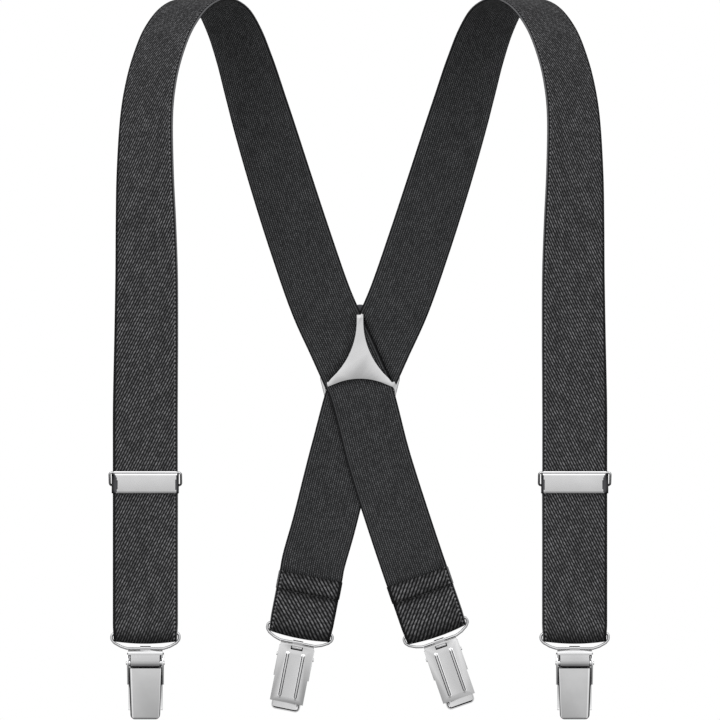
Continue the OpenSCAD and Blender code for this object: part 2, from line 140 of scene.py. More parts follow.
class NodeBoard:
    """A small helper that wires up one material's shader nodes."""

    def __init__(self, name: str) -> None:
        """Starts an empty material with a Principled shader.

        Args:
            name: the material's name.
        """
        self.material = bpy.data.materials.new(name)
        self.material.use_nodes = True
        self.tree = self.material.node_tree
        self.tree.nodes.clear()
        self.output = self.tree.nodes.new("ShaderNodeOutputMaterial")
        self.shader = self.tree.nodes.new("ShaderNodeBsdfPrincipled")
        self.link(self.shader.outputs["BSDF"], self.output.inputs["Surface"])

    def link(self, source: bpy.types.NodeSocket, target: bpy.types.NodeSocket) -> None:
        """Joins two sockets."""
        self.tree.links.new(source, target)

    def add(self, kind: str, **settings: object) -> bpy.types.Node:
        """Adds a node.

        Args:
            kind: the node's type name.
            settings: attributes to set on it.

        Returns:
            The new node.
        """
        node = self.tree.nodes.new(kind)
        for key, value in settings.items():
            setattr(node, key, value)
        return node

    def feed(self, target: bpy.types.NodeSocket, value: object) -> None:
        """Links a socket, or sets a constant on it."""
        if isinstance(value, bpy.types.NodeSocket):
            self.link(value, target)
        else:
            target.default_value = value

    def math(self, operation: str, a: object, b: object = 0.0, clamp: bool = False) -> bpy.types.NodeSocket:
        """Adds a Math node.

        Args:
            operation: the operation's name.
            a: first socket or number.
            b: second socket or number.
            clamp: whether the result stays within 0 and 1.

        Returns:
            The result's socket.
        """
        node = self.add("ShaderNodeMath", operation=operation, use_clamp=clamp)
        self.feed(node.inputs[0], a)
        self.feed(node.inputs[1], b)
        return node.outputs[0]

    def wave(self, phase: bpy.types.NodeSocket) -> bpy.types.NodeSocket:
        """Turns a phase, in turns, into a smooth wave from 0 to 1."""
        sine = self.math("SINE", self.math("MULTIPLY", phase, math.tau))
        return self.math("ADD", self.math("MULTIPLY", sine, 0.5), 0.5)

    def blend(self, amount: object, low: object, high: object) -> bpy.types.NodeSocket:
        """Mixes two colours.

        Args:
            amount: how much of the second colour.
            low: the colour at 0, a socket or an RGB tuple.
            high: the colour at 1, a socket or an RGB tuple.

        Returns:
            The mixed colour's socket.
        """
        node = self.add("ShaderNodeMix", data_type="RGBA")
        self.feed(node.inputs["Factor"], amount)
        for socket, value in ((node.inputs[6], low), (node.inputs[7], high)):
            self.feed(socket, (*value, 1.0) if isinstance(value, tuple) else value)
        return node.outputs[2]

    def step(self, value: object, low: float, high: float) -> bpy.types.NodeSocket:
        """A smooth step from 0 at low to 1 at high."""
        node = self.add("ShaderNodeMapRange", interpolation_type="SMOOTHSTEP")
        self.feed(node.inputs["Value"], value)
        node.inputs["From Min"].default_value = low
        node.inputs["From Max"].default_value = high
        return node.outputs["Result"]

    def vector(self, x: object, y: object, z: object = 0.0) -> bpy.types.NodeSocket:
        """Joins three numbers into a vector."""
        node = self.add("ShaderNodeCombineXYZ")
        for socket, value in zip(node.inputs, (x, y, z)):
            self.feed(socket, value)
        return node.outputs[0]

    def object_point(self) -> bpy.types.NodeSocket:
        """The surface point in the piece's own coordinates."""
        return self.add("ShaderNodeTexCoord").outputs["Object"]

    def noise(self, vector: bpy.types.NodeSocket, scale: float, detail: float = 3.0) -> bpy.types.NodeSocket:
        """A fractal noise value."""
        node = self.add("ShaderNodeTexNoise")
        self.link(vector, node.inputs["Vector"])
        node.inputs["Scale"].default_value = scale
        node.inputs["Detail"].default_value = detail
        return node.outputs["Fac"]

    def speck(self, x: bpy.types.NodeSocket, y: bpy.types.NodeSocket) -> bpy.types.NodeSocket:
        """A random value for each whole cell of x and y."""
        node = self.add("ShaderNodeTexWhiteNoise", noise_dimensions="2D")
        self.link(self.vector(self.math("FLOOR", x), self.math("FLOOR", y)), node.inputs["Vector"])
        return node.outputs["Value"]

    def bump(self, height: bpy.types.NodeSocket, distance: float, strength: float) -> None:
        """Sends a height to the shader's normal."""
        node = self.add("ShaderNodeBump")
        node.inputs["Strength"].default_value = strength
        node.inputs["Distance"].default_value = distance
        self.link(height, node.inputs["Height"])
        self.link(node.outputs["Normal"], self.shader.inputs["Normal"])

    def preset(self, **values: float) -> None:
        """Sets constants on the shader's own sockets."""
        for key, value in values.items():
            self.shader.inputs[key.replace("_", " ")].default_value = value


@dataclass(frozen=True)
class MetalFinish:
    """Polished nickel with a faint haze and tiny pits.

    Each painted band gives a stretch of heights, in metres, a level of its own: painted shade or a painted
    highlight. A shaded finish is dimmed where the mesh's Shade attribute, a painted shade, is low.
    """

    name: str
    slot: str
    colour: Colour
    roughness: float
    haze: float
    painted_bands: tuple[tuple[float, float, Colour], ...] = ()
    shaded: bool = False

    def build(self) -> bpy.types.Material:
        """Builds the material.

        Returns:
            A metal whose gloss and level vary a little over the surface.
        """
        board = NodeBoard(self.name)
        place = board.object_point()
        clouds = board.noise(place, 90.0, 4.0)
        grain = board.noise(place, 2600.0, 2.0)
        board.preset(Metallic=1.0)
        shade = tuple(c * 0.93 for c in self.colour)
        level = board.blend(board.step(clouds, 0.25, 0.75), shade, self.colour)
        if self.shaded:
            shade = board.add("ShaderNodeAttribute", attribute_name="Shade").outputs["Fac"]
            level = board.blend(shade, tuple(c * 0.06 for c in self.colour), level)
        if self.painted_bands:
            split = board.add("ShaderNodeSeparateXYZ")
            board.link(place, split.inputs[0])
            for low, high, tone in self.painted_bands:
                inside = board.math("MULTIPLY", board.step(split.outputs["Z"], low - 0.0003, low + 0.0003),
                                    board.step(split.outputs["Z"], high + 0.0003, high - 0.0003))
                level = board.blend(inside, level, tone)
        board.feed(board.shader.inputs["Base Color"], level)
        spread = board.math(
            "ADD", board.math("MULTIPLY", clouds, self.haze), board.math("MULTIPLY", grain, self.haze))
        board.feed(board.shader.inputs["Roughness"], board.math("ADD", spread, self.roughness - self.haze))
        board.bump(board.math("ADD", board.math("MULTIPLY", grain, 0.2), clouds), 0.00004, 0.35)
        return board.material


@dataclass(frozen=True)
class WebbingFinish:
    """Woven elastic webbing, read from a UV map in which one unit is 100 mm of cloth."""

    name: str
    slot: str
    dark: Colour
    light: Colour
    ribbed: bool
    sparkle: float = 0.5
    pitch: float = 1.5
    lean: float = 2.0

    def build(self) -> bpy.types.Material:
        """Builds the material.

        Returns:
            Twill lines or knitted ribs, with single threads that catch the light and plain edges, darkened where
            the mesh's Shade attribute holds painted shade.
        """
        board = NodeBoard(self.name)
        uv = board.add("ShaderNodeUVMap", uv_map="Cloth")
        split = board.add("ShaderNodeSeparateXYZ")
        board.link(uv.outputs["UV"], split.inputs[0])
        across = board.math("MULTIPLY", split.outputs["X"], 100.0)
        along = board.math("MULTIPLY", split.outputs["Y"], 100.0)
        wander = board.noise(board.vector(across, along), 0.35, 2.0)
        weave = self._ribs if self.ribbed else self._twill
        column, lines, row, ticks = weave(board, across, along, wander)
        glint = board.speck(column, row)
        patch = board.noise(board.vector(across, board.math("MULTIPLY", along, 0.5)), 0.16, 3.0)
        raised = board.math("MULTIPLY", lines, board.math("ADD", board.math("MULTIPLY", ticks, 0.45), 0.4))
        light = board.math("MULTIPLY", raised, board.math("ADD", board.math("MULTIPLY", glint, self.sparkle), 0.4))
        body = board.math("SUBTRACT", 1.0, board.step(board.math("ABSOLUTE", across), 15.7, 16.3))
        shade = board.add("ShaderNodeAttribute", attribute_name="Shade").outputs["Fac"]
        light = board.math("MULTIPLY", light, shade)
        level = board.math("MULTIPLY", light, board.math("ADD", board.math("MULTIPLY", patch, 0.8), 0.5))
        rim = self._selvedge(board, across, along)
        amount = board.math("ADD", board.math("MULTIPLY", level, body), rim, clamp=True)
        deep = board.blend(shade, tuple(c * 0.3 for c in self.dark), self.dark)
        board.feed(board.shader.inputs["Base Color"], board.blend(amount, deep, self.light))
        board.feed(board.shader.inputs["Roughness"], board.math("SUBTRACT", 0.9, board.math("MULTIPLY", light, 0.3)))
        board.preset(Specular_IOR_Level=0.12, Sheen_Weight=0.02, Sheen_Roughness=0.45)
        fibre = board.noise(board.vector(across, board.math("MULTIPLY", along, 0.3)), 6.0, 2.0)
        height = board.math("ADD", raised, board.math("MULTIPLY", fibre, 0.25))
        board.bump(board.math("ADD", height, board.math("MULTIPLY", rim, 0.6)), 0.00018, 0.8)
        return board.material

    def _twill(
        self, board: NodeBoard, across: bpy.types.NodeSocket, along: bpy.types.NodeSocket,
        wander: bpy.types.NodeSocket,
    ) -> tuple[bpy.types.NodeSocket, ...]:
        """Diagonal lines that climb towards one edge, cut into single floats of yarn.

        Returns:
            The line's number, its height, the float's number along it and the float's height.
        """
        slope = board.math("DIVIDE", along, self.pitch * self.lean)
        column = board.math("SUBTRACT", board.math("DIVIDE", across, self.pitch), slope)
        column = board.math("ADD", column, board.math("MULTIPLY", wander, 0.35))
        start = board.speck(column, 0.5)
        row = board.math("ADD", board.math("DIVIDE", along, 2.4), board.math("MULTIPLY", start, 7.0))
        lines = board.step(self._hump(board, column), 0.25, 0.95)
        return column, lines, row, board.step(self._hump(board, row), 0.1, 0.6)

    def _ribs(
        self, board: NodeBoard, across: bpy.types.NodeSocket, along: bpy.types.NodeSocket,
        wander: bpy.types.NodeSocket,
    ) -> tuple[bpy.types.NodeSocket, ...]:
        """Narrow knitted columns of ticks that shift by half a step from one to the next.

        Returns:
            The column's number, its height, the tick's number along it and the tick's height.
        """
        column = board.math("DIVIDE", across, self.pitch * 0.8)
        column = board.math("ADD", column, board.math("MULTIPLY", wander, 0.2))
        shift = board.math("MULTIPLY", board.math("FLOOR", column), 0.5)
        row = board.math("ADD", board.math("DIVIDE", along, 1.3), shift)
        lines = board.step(self._hump(board, column), 0.1, 0.8)
        return column, lines, row, board.step(self._hump(board, row), 0.2, 0.9)

    @staticmethod
    def _hump(board: NodeBoard, phase: bpy.types.NodeSocket) -> bpy.types.NodeSocket:
        """One smooth hump from 0 to 1 and back over each whole cell of a phase."""
        part = board.math("FRACT", phase)
        turn = board.math("MULTIPLY", board.math("SUBTRACT", part, 0.5), math.tau)
        return board.math("ADD", board.math("MULTIPLY", board.math("COSINE", turn), 0.5), 0.5)

    def _selvedge(
        self, board: NodeBoard, across: bpy.types.NodeSocket, along: bpy.types.NodeSocket
    ) -> bpy.types.NodeSocket:
        """Beads where the weft turns round near one edge, with a painted highlight along that edge's rim, or a thin
        bright line near both.
        """
        if self.ribbed:
            distance = board.math("ABSOLUTE", board.math("SUBTRACT", board.math("ABSOLUTE", across), 16.2))
            return board.math("MULTIPLY", board.math("SUBTRACT", 1.0, board.step(distance, 0.15, 0.4)), 0.3)
        distance = board.math("ABSOLUTE", board.math("SUBTRACT", across, 15.9))
        row = board.math("SUBTRACT", 1.0, board.step(distance, 0.25, 0.6))
        beads = board.step(self._hump(board, board.math("DIVIDE", along, 2.1)), 0.45, 0.9)
        # A painted highlight along the rounded rim of the beaded edge.
        edge_highlight = board.math("MULTIPLY", board.step(across, 16.9, 17.3), 0.5)
        return board.math("ADD", board.math("MULTIPLY", board.math("MULTIPLY", row, beads), 0.5), edge_highlight)


@dataclass(frozen=True)
class ThreadFinish:
    """Twisted sewing thread."""

    name: str
    slot: str
    dark: Colour
    light: Colour

    def build(self) -> bpy.types.Material:
        """Builds the material."""
        board = NodeBoard(self.name)
        split = board.add("ShaderNodeSeparateXYZ")
        board.link(board.object_point(), split.inputs[0])
        turn = board.math("ADD", split.outputs["X"], board.math("MULTIPLY", split.outputs["Z"], 1.4))
        twist = board.wave(board.math("DIVIDE", turn, 0.0006))
        fuzz = board.noise(board.object_point(), 4000.0, 2.0)
        amount = board.math("MULTIPLY", twist, board.math("ADD", fuzz, 0.2), clamp=True)
        board.feed(board.shader.inputs["Base Color"], board.blend(amount, self.dark, self.light))
        board.preset(Roughness=0.7, Specular_IOR_Level=0.35, Sheen_Weight=0.1)
        board.bump(twist, 0.0001, 0.8)
        return board.material


@dataclass(frozen=True)
class FloorFinish:
    """Matt pale paper that fades out at the rim."""

    name: str
    colour: Colour
    radius: float

    def build(self) -> bpy.types.Material:
        """Builds the material."""
        board = NodeBoard(self.name)
        place = board.object_point()
        mottle = board.noise(place, 6.0, 2.0)
        shade = tuple(c * 0.985 for c in self.colour)
        board.feed(board.shader.inputs["Base Color"], board.blend(mottle, shade, self.colour))
        board.preset(Roughness=0.95, Specular_IOR_Level=0.1)
        length = board.add("ShaderNodeVectorMath", operation="LENGTH")
        board.link(place, length.inputs[0])
        rim = board.step(length.outputs["Value"], self.radius * 0.6, self.radius)
        clear = board.add("ShaderNodeBsdfTransparent")
        mix = board.add("ShaderNodeMixShader")
        board.link(rim, mix.inputs[0])
        board.link(board.shader.outputs["BSDF"], mix.inputs[1])
        board.link(clear.outputs["BSDF"], mix.inputs[2])
        board.link(mix.outputs["Shader"], board.output.inputs["Surface"])
        return board.material


TWILL = WebbingFinish("webbing_twill", "webbing_front", (0.0040, 0.0040, 0.0043), (0.135, 0.135, 0.14), False)
RIBBED = WebbingFinish("webbing_ribbed", "webbing_back", (0.0055, 0.0055, 0.0060), (0.085, 0.087, 0.09), True)
TURNED = WebbingFinish(
    "webbing_turned", "webbing_back", (0.0035, 0.0035, 0.0038), (0.16, 0.16, 0.165), False, pitch=2.3, lean=1.15)
THREAD = ThreadFinish("sewing_thread", "thread", (0.008, 0.008, 0.009), (0.05, 0.05, 0.052))
# The plate's painted bands: painted shade over the plate's top corner above the web, and a painted highlight along
# the web's top edge.
PLATE_METAL = MetalFinish(
    "plate_nickel", "plate_metal", (0.80, 0.80, 0.805), 0.13, 0.04,
    painted_bands=((-0.1693, -0.15, (0.06, 0.06, 0.065)), (-0.1722, -0.1703, (0.98, 0.98, 0.98))))
# A much darker copy of the cover's nickel: painted shade on the cover's turned-back ends.
COVER_SHADE = MetalFinish("cover_nickel_painted_shade", "cover_metal", (0.075, 0.075, 0.08), 0.2, 0.04)
COVER_METAL = MetalFinish("cover_nickel", "cover_metal", (0.84, 0.84, 0.845), 0.13, 0.04)
WIRE_METAL = MetalFinish("bright_wire", "wire_metal", (0.72, 0.72, 0.73), 0.12, 0.04, shaded=True)
# The clip's nickel at a lower level: painted shade on the jaw's leaf.
LEAF_METAL = MetalFinish("leaf_nickel", "clip_metal", (0.50, 0.50, 0.505), 0.16, 0.04)
# A rougher, much darker copy of the pressed nickel: painted shade on rounded edges and on rib and lever sides.
EDGE_SHADE_METAL = MetalFinish("pressed_edge_painted_shade", "clip_metal", (0.11, 0.11, 0.115), 0.2, 0.04)
CLIP_METAL = MetalFinish("pressed_nickel", "clip_metal", (0.84, 0.84, 0.845), 0.13, 0.04)
PAPER = FloorFinish("pale_paper", (0.9, 0.9, 0.895), 1.3)


class Paintbox:
    """Builds each finish once and hands out its material."""

    _made: dict[str, bpy.types.Material] = {}

    @classmethod
    def get(cls, finish: object) -> bpy.types.Material:
        """Returns the finish's material, built on first use."""
        if finish.name not in cls._made:
            cls._made[finish.name] = finish.build()
        return cls._made[finish.name]

    @classmethod
    def dress(cls, piece: bpy.types.Object, *finishes: object) -> None:
        """Gives a piece its materials."""
        materials = piece.data.materials
        for index, finish in enumerate(finishes):
            if index < len(materials):
                materials[index] = cls.get(finish)
            else:
                materials.append(cls.get(finish))
        while len(materials) > len(finishes):
            materials.pop()


# ---------------------------------------------------------------- bench: shared ways of making a piece


class Bench:
    """Bpy operators used the way a modeller uses them, on one piece at a time."""

    @staticmethod
    def clear() -> None:
        """Leaves edit mode and deselects everything."""
        if bpy.context.object is not None and bpy.context.object.mode != "OBJECT":
            bpy.ops.object.mode_set(mode="OBJECT")
        bpy.ops.object.select_all(action="DESELECT")

    @staticmethod
    def hold(piece: bpy.types.Object) -> None:
        """Makes a piece the only selected and active one."""
        Bench.clear()
        piece.select_set(True)
        bpy.context.view_layer.objects.active = piece

    @staticmethod
    def edit(piece: bpy.types.Object, everything: bool = True) -> None:
        """Opens a piece in edit mode, with all or none of it selected."""
        Bench.hold(piece)
        bpy.ops.object.mode_set(mode="EDIT")
        bpy.ops.mesh.select_all(action="SELECT" if everything else "DESELECT")

    @staticmethod
    def pick(piece: bpy.types.Object, kind: str, test: Callable[[object], bool]) -> None:
        """Opens a piece in edit mode with only some of it selected.

        Args:
            piece: the piece.
            kind: VERT, EDGE or FACE.
            test: says whether one of these is wanted.
        """
        Bench.edit(piece, everything=False)
        bpy.ops.mesh.select_mode(type=kind)
        bpy.ops.object.mode_set(mode="OBJECT")
        parts = {"VERT": piece.data.vertices, "EDGE": piece.data.edges, "FACE": piece.data.polygons}[kind]
        for part in parts:
            part.select = bool(test(part))
        bpy.ops.object.mode_set(mode="EDIT")

    @staticmethod
    def finish_modifiers(piece: bpy.types.Object) -> None:
        """Applies every modifier of a piece, in order."""
        Bench.hold(piece)
        for modifier in list(piece.modifiers):
            bpy.ops.object.modifier_apply(modifier=modifier.name)

    @staticmethod
    def bevel(
        piece: bpy.types.Object, width: float, segments: int = 2, angle: float = 35.0, material: int = -1
    ) -> None:
        """Rounds the hard edges of a piece.

        Args:
            piece: the piece.
            width: the rounding's width in metres.
            segments: faces across each rounding.
            angle: edges sharper than this, in degrees, are rounded.
            material: the place in the piece's list of the material for the rounded faces.
        """
        modifier = piece.modifiers.new("rounding", "BEVEL")
        modifier.width = width
        modifier.segments = segments
        modifier.limit_method = "ANGLE"
        modifier.angle_limit = math.radians(angle)
        modifier.harden_normals = False
        modifier.material = material
        Bench.finish_modifiers(piece)

    @staticmethod
    def smooth(piece: bpy.types.Object, angle: float = 40.0) -> None:
        """Shades a piece smooth, except across edges sharper than an angle in degrees."""
        Bench.hold(piece)
        bpy.ops.object.shade_smooth_by_angle(angle=math.radians(angle))

    @staticmethod
    def join(piece: bpy.types.Object, extra: bpy.types.Object) -> None:
        """Makes a second mesh part of a piece."""
        Bench.clear()
        extra.select_set(True)
        piece.select_set(True)
        bpy.context.view_layer.objects.active = piece
        bpy.ops.object.join()

    @staticmethod
    def place(piece: bpy.types.Object, matrix: Matrix) -> None:
        """Moves a piece's mesh to its place and leaves the object at the origin."""
        piece.data.transform(matrix @ piece.matrix_basis)
        piece.matrix_basis = Matrix.Identity(4)
        if matrix.determinant() < 0:
            piece.data.flip_normals()

    @staticmethod
    def pressing(node: str, name: str, width: float, finish: object) -> bpy.types.Object:
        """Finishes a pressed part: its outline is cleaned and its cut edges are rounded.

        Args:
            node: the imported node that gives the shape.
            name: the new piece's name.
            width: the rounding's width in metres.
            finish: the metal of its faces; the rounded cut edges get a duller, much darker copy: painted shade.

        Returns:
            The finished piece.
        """
        piece = bpy.data.objects.new(name, frame["nodes"][node].data.copy())
        bpy.context.scene.collection.objects.link(piece)
        piece.data.materials.clear()
        Paintbox.dress(piece, finish, EDGE_SHADE_METAL)
        for face in piece.data.polygons:
            face.material_index = 0
        Bench.edit(piece)
        bpy.ops.mesh.remove_doubles(threshold=1e-6)
        bpy.ops.mesh.dissolve_limited(angle_limit=math.radians(0.6))
        bpy.ops.mesh.select_all(action="SELECT")
        bpy.ops.mesh.normals_make_consistent(inside=False)
        bpy.ops.object.mode_set(mode="OBJECT")
        Bench.bevel(piece, width, material=1)
        Bench.smooth(piece)
        return piece


@dataclass
class BentWire:
    """Round wire bent in the X-Z or Y-Z plane, with a real radius at each corner."""

    radius: float
    bend: float
    sides: int = 20
    steps: int = 8

    def make(self, name: str, points: list[Vector], closed: bool) -> bpy.types.Object:
        """Bends the wire.

        Args:
            name: the piece's name.
            points: the corners in metres. A closed wire starts in the middle of a straight.
            closed: whether the wire's end meets its start.

        Returns:
            The wire, in the coordinates of its points.
        """
        start, toward = points[0], (points[1] - points[0]).normalized()
        Bench.clear()
        turn = toward.to_track_quat("Z", "Y").to_euler()
        bpy.ops.mesh.primitive_circle_add(
            vertices=self.sides, radius=self.radius, fill_type="NOTHING" if closed else "NGON",
            location=start, rotation=turn)
        piece = bpy.context.object
        piece.name = piece.data.name = name
        piece.data.transform(piece.matrix_basis)
        piece.matrix_basis = Matrix.Identity(4)
        Bench.edit(piece)
        here = start
        for before, corner, after in zip(points, points[1:], points[2:]):
            here = self._bend_at(here, before, corner, after)
        self._draw_out(points[-1] - here)
        if closed:
            bpy.ops.mesh.select_all(action="SELECT")
            bpy.ops.mesh.remove_doubles(threshold=2e-6)
        bpy.ops.mesh.select_all(action="SELECT")
        bpy.ops.mesh.normals_make_consistent(inside=False)
        bpy.ops.object.mode_set(mode="OBJECT")
        if not closed:
            Bench.bevel(piece, self.radius * 0.35, 3, 50.0)
        Bench.smooth(piece, 50.0)
        shade = piece.data.attributes.new("Shade", "FLOAT", "POINT")
        for vertex, value in zip(piece.data.vertices, shade.data):
            value.value = PlateThreading.ease((abs(vertex.normal.y) - 0.5) / 0.4)
        return piece

    def _draw_out(self, step: Vector) -> None:
        """Extrudes the selected end along a straight."""
        bpy.ops.mesh.extrude_region_move(TRANSFORM_OT_translate={"value": step})

    def _bend_at(self, here: Vector, before: Vector, corner: Vector, after: Vector) -> Vector:
        """Draws the wire up to a corner and spins it round.

        Returns:
            Where the bend ends.
        """
        into, out = (corner - before).normalized(), (after - corner).normalized()
        angle = into.angle(out)
        reach = min(self.bend * math.tan(angle / 2), (after - corner).length * 0.45)
        radius = reach / math.tan(angle / 2)
        begin = corner - into * reach
        axis = into.cross(out).normalized()
        centre = begin + axis.cross(into) * radius
        self._draw_out(begin - here)
        bpy.ops.mesh.spin(steps=self.steps, angle=-angle, center=centre, axis=axis, use_auto_merge=False)
        return corner + out * reach


@dataclass(frozen=True)
class ClothFrame:
    """One cross-section of webbing: its middle, its directions and how far along the cloth it lies, in mm, with its
    painted shade.
    """

    centre: Vector
    across: Vector
    out: Vector
    along: float
    lift: tuple[Vector, ...] = ()
    shade: float = 1.0


@dataclass
class Webbing:
    """Woven elastic swept through cross-sections, with rounded edges and a raised selvedge."""

    mirror: float
    half: float = WEB_HALF
    thickness: float = WEB_T
    columns: int = 30
    edge: float = 0.75

    def stops(self) -> list[float]:
        """Where the points lie across the cloth, in mm from its middle.

        Returns:
            Even steps with a few closer ones that round each edge.
        """
        inner = self.half - self.edge
        even = [-inner + 2 * inner * k / self.columns for k in range(self.columns + 1)]
        rim = [inner + self.edge * f for f in (0.35, 0.65, 0.88, 1.0)]
        return [-r for r in reversed(rim)] + even + rim

    def profile(self, side: float) -> float:
        """Half the cloth's thickness at a distance from its middle."""
        inner = self.half - self.edge
        over = max(0.0, abs(side) - inner) / self.edge
        rounded = 0.18 + 0.82 * math.sqrt(max(0.0, 1 - over * over))
        welt = 0.07 * math.exp(-((abs(side) - self.half + 1.3) / 0.6) ** 2)
        return self.thickness / 2 * rounded + welt - 0.05

    def sweep(self, name: str, frames: list[ClothFrame], outer: object, inner: object) -> bpy.types.Object:
        """Builds one length of webbing.

        Args:
            name: the piece's name.
            frames: its cross-sections.
            outer: the finish of the face that points outwards.
            inner: the finish of the other face.

        Returns:
            A closed mesh with a UV map in which one unit is 100 mm of cloth.
        """
        stops = self.stops()
        count = len(stops)
        mesh = bpy.data.meshes.new(name)
        build = bmesh.new()
        uv = build.loops.layers.uv.new("Cloth")
        rows = []
        for section in frames:
            row = []
            for face in (1.0, -1.0):
                for k, side in enumerate(stops):
                    point = section.centre + section.across * side
                    if section.lift:
                        point = point + section.lift[k]
                    point = point + section.out * face * self.profile(side)
                    row.append(build.verts.new(point * MM))
            rows.append(row)
        for lower, upper, here, there in zip(rows, rows[1:], frames, frames[1:]):
            for face in (0, 1):
                for k in range(count - 1):
                    self._quad(build, uv, lower, upper, face * count, k, stops, here.along, there.along, face)
            for k in (0, count - 1):
                quad = build.faces.new((lower[k], upper[k], upper[k + count], lower[k + count]))
                self._paint(quad, uv, (stops[k],) * 4, (here.along, there.along, there.along, here.along), 0)
        for row, section in ((rows[0], frames[0]), (rows[-1], frames[-1])):
            for k in range(count - 1):
                quad = build.faces.new((row[k], row[k + 1], row[k + 1 + count], row[k + count]))
                self._paint(quad, uv, (stops[k], stops[k + 1], stops[k + 1], stops[k]), (section.along,) * 4, 0)
        bmesh.ops.recalc_face_normals(build, faces=build.faces)
        build.to_mesh(mesh)
        build.free()
        # The Shade attribute is painted shade, one level per cross-section, read by the webbing finishes.
        shade = mesh.attributes.new("Shade", "FLOAT", "POINT")
        for index, value in enumerate(shade.data):
            value.value = frames[index // (2 * count)].shade
        piece = bpy.data.objects.new(name, mesh)
        bpy.context.scene.collection.objects.link(piece)
        Paintbox.dress(piece, outer, inner)
        Bench.smooth(piece, 60.0)
        return piece

    def _quad(
        self, build: bmesh.types.BMesh, uv: bmesh.types.BMLayerItem, lower: list, upper: list, offset: int, k: int,
        stops: list[float], here: float, there: float, face: int,
    ) -> None:
        """Adds one face between two cross-sections."""
        quad = build.faces.new((
            lower[offset + k], lower[offset + k + 1], upper[offset + k + 1], upper[offset + k]))
        self._paint(quad, uv, (stops[k], stops[k + 1], stops[k + 1], stops[k]), (here, here, there, there), face)

    def _paint(
        self, quad: bmesh.types.BMFace, uv: bmesh.types.BMLayerItem, across: tuple, along: tuple, face: int
    ) -> None:
        """Gives a face its place on the cloth and its finish."""
        quad.material_index = face
        quad.smooth = True
        for loop, u, v in zip(quad.loops, across, along):
            loop[uv].uv = (-self.mirror * u / 100, v / 100)


class RouteCurve:
    """A smooth curve through the stations of a strap's route."""

    def __init__(self, route: list[Station]) -> None:
        """Keeps the route, with one more station past each end.

        Args:
            route: the stations.
        """
        points = [list(station) for station in route]
        first = [2 * a - b for a, b in zip(points[0], points[1])]
        last = [2 * a - b for a, b in zip(points[-1], points[-2])]
        self.points = [first, *points, last]

    def at(self, t: float) -> list[float]:
        """The place and turn at t stations along the route."""
        i = max(0, min(int(math.floor(t)), len(self.points) - 4))
        u = t - i
        a, b, c, d = self.points[i:i + 4]
        return [
            0.5 * (2 * q + (r - p) * u + (2 * p - 5 * q + 4 * r - s) * u * u + (3 * q - p - 3 * r + s) * u ** 3)
            for p, q, r, s in zip(a, b, c, d)
        ]

    def section(self, t: float) -> tuple[Vector, Vector, Vector]:
        """The middle, the direction across and the outward direction at t."""
        here = self.at(t)
        before, after = Vector(self.at(t - 0.02)[:3]), Vector(self.at(t + 0.02)[:3])
        along = (after - before).normalized()
        turn = math.radians(here[3])
        flat = Vector((math.cos(turn), -math.sin(turn), 0))
        across = (flat - along * flat.dot(along)).normalized()
        return Vector(here[:3]), across, across.cross(along)

    def spaced(self, start: float, end: float, step: float) -> list[tuple[float, float]]:
        """Even steps along the cloth.

        Args:
            start: first station.
            end: last station.
            step: the distance between cross-sections in mm.

        Returns:
            Pairs of station and distance from station 0, in mm.
        """
        fine = 24
        walk = [(0.0, 0.0)]
        previous = Vector(self.at(0)[:3])
        total = 0.0
        for i in range(1, math.ceil(end) * fine + 1):
            here = Vector(self.at(i / fine)[:3])
            total += (here - previous).length
            walk.append((i / fine, total))
            previous = here
        length_at = lambda t: self._between(walk, t, 0, 1)
        first, last = length_at(start), length_at(end)
        count = max(2, round((last - first) / step))
        lengths = [first + (last - first) * k / count for k in range(count + 1)]
        return [(self._between(walk, s, 1, 0), s) for s in lengths]

    @staticmethod
    def _between(walk: list[tuple[float, float]], value: float, key: int, other: int) -> float:
        """Reads one column of a table at a value of the other."""
        for low, high in zip(walk, walk[1:]):
            if low[key] <= value <= high[key] + 1e-9:
                part = (value - low[key]) / max(1e-9, high[key] - low[key])
                return low[other] + (high[other] - low[other]) * part
        return walk[-1][other]


@dataclass(frozen=True)
class PlateThreading:
    """How far the straps are pushed back where they pass behind the plate's middle web, in mm."""

    web_top: float = -170.0
    web_foot: float = -205.4
    half_top: float = 2.0
    side_radius: float = 42.4
    side_level: float = -174.0
    slot_floor: float = -214.5
    layer: float = 1.8
    behind: float = 43.65

    @staticmethod
    def ease(u: float) -> float:
        """A smooth step from 0 to 1."""
        c = max(0.0, min(1.0, u))
        return c * c * (3 - 2 * c)

    def web_side(self, z: float) -> float:
        """Half the width of the middle web at height z."""
        if z > self.side_level:
            return self.half_top
        drop = z - self.side_level
        return self.half_top + self.side_radius - math.sqrt(max(0.0, self.side_radius ** 2 - drop * drop))

    @staticmethod
    def upper_edge(z: float) -> float:
        """The inner edge of the strap that crosses in front, at height z."""
        return 8.5 + 0.446 * (-187 - z)

    def push(self, point: Vector, from_side: float) -> float:
        """The push towards +Y at a point of the strap that comes from one side."""
        if from_side < 0:
            slot, reach = self.web_side(max(point.z, self.web_foot)) + 2.4, 4.0
        else:
            slot, reach = self.upper_edge(point.z) + 1.05, 3.0
        amount = (
            self.ease((slot - from_side * point.x) / reach + 0.5)
            * self.ease((self.web_top + 2 - point.z) / 5)
            * self.ease((point.z - self.slot_floor) / 6.5)
        )
        depth = self.behind + (self.layer if from_side > 0 else 0.0)
        return (depth - point.y) * amount


# ---------------------------------------------------------------- sub-assemblies


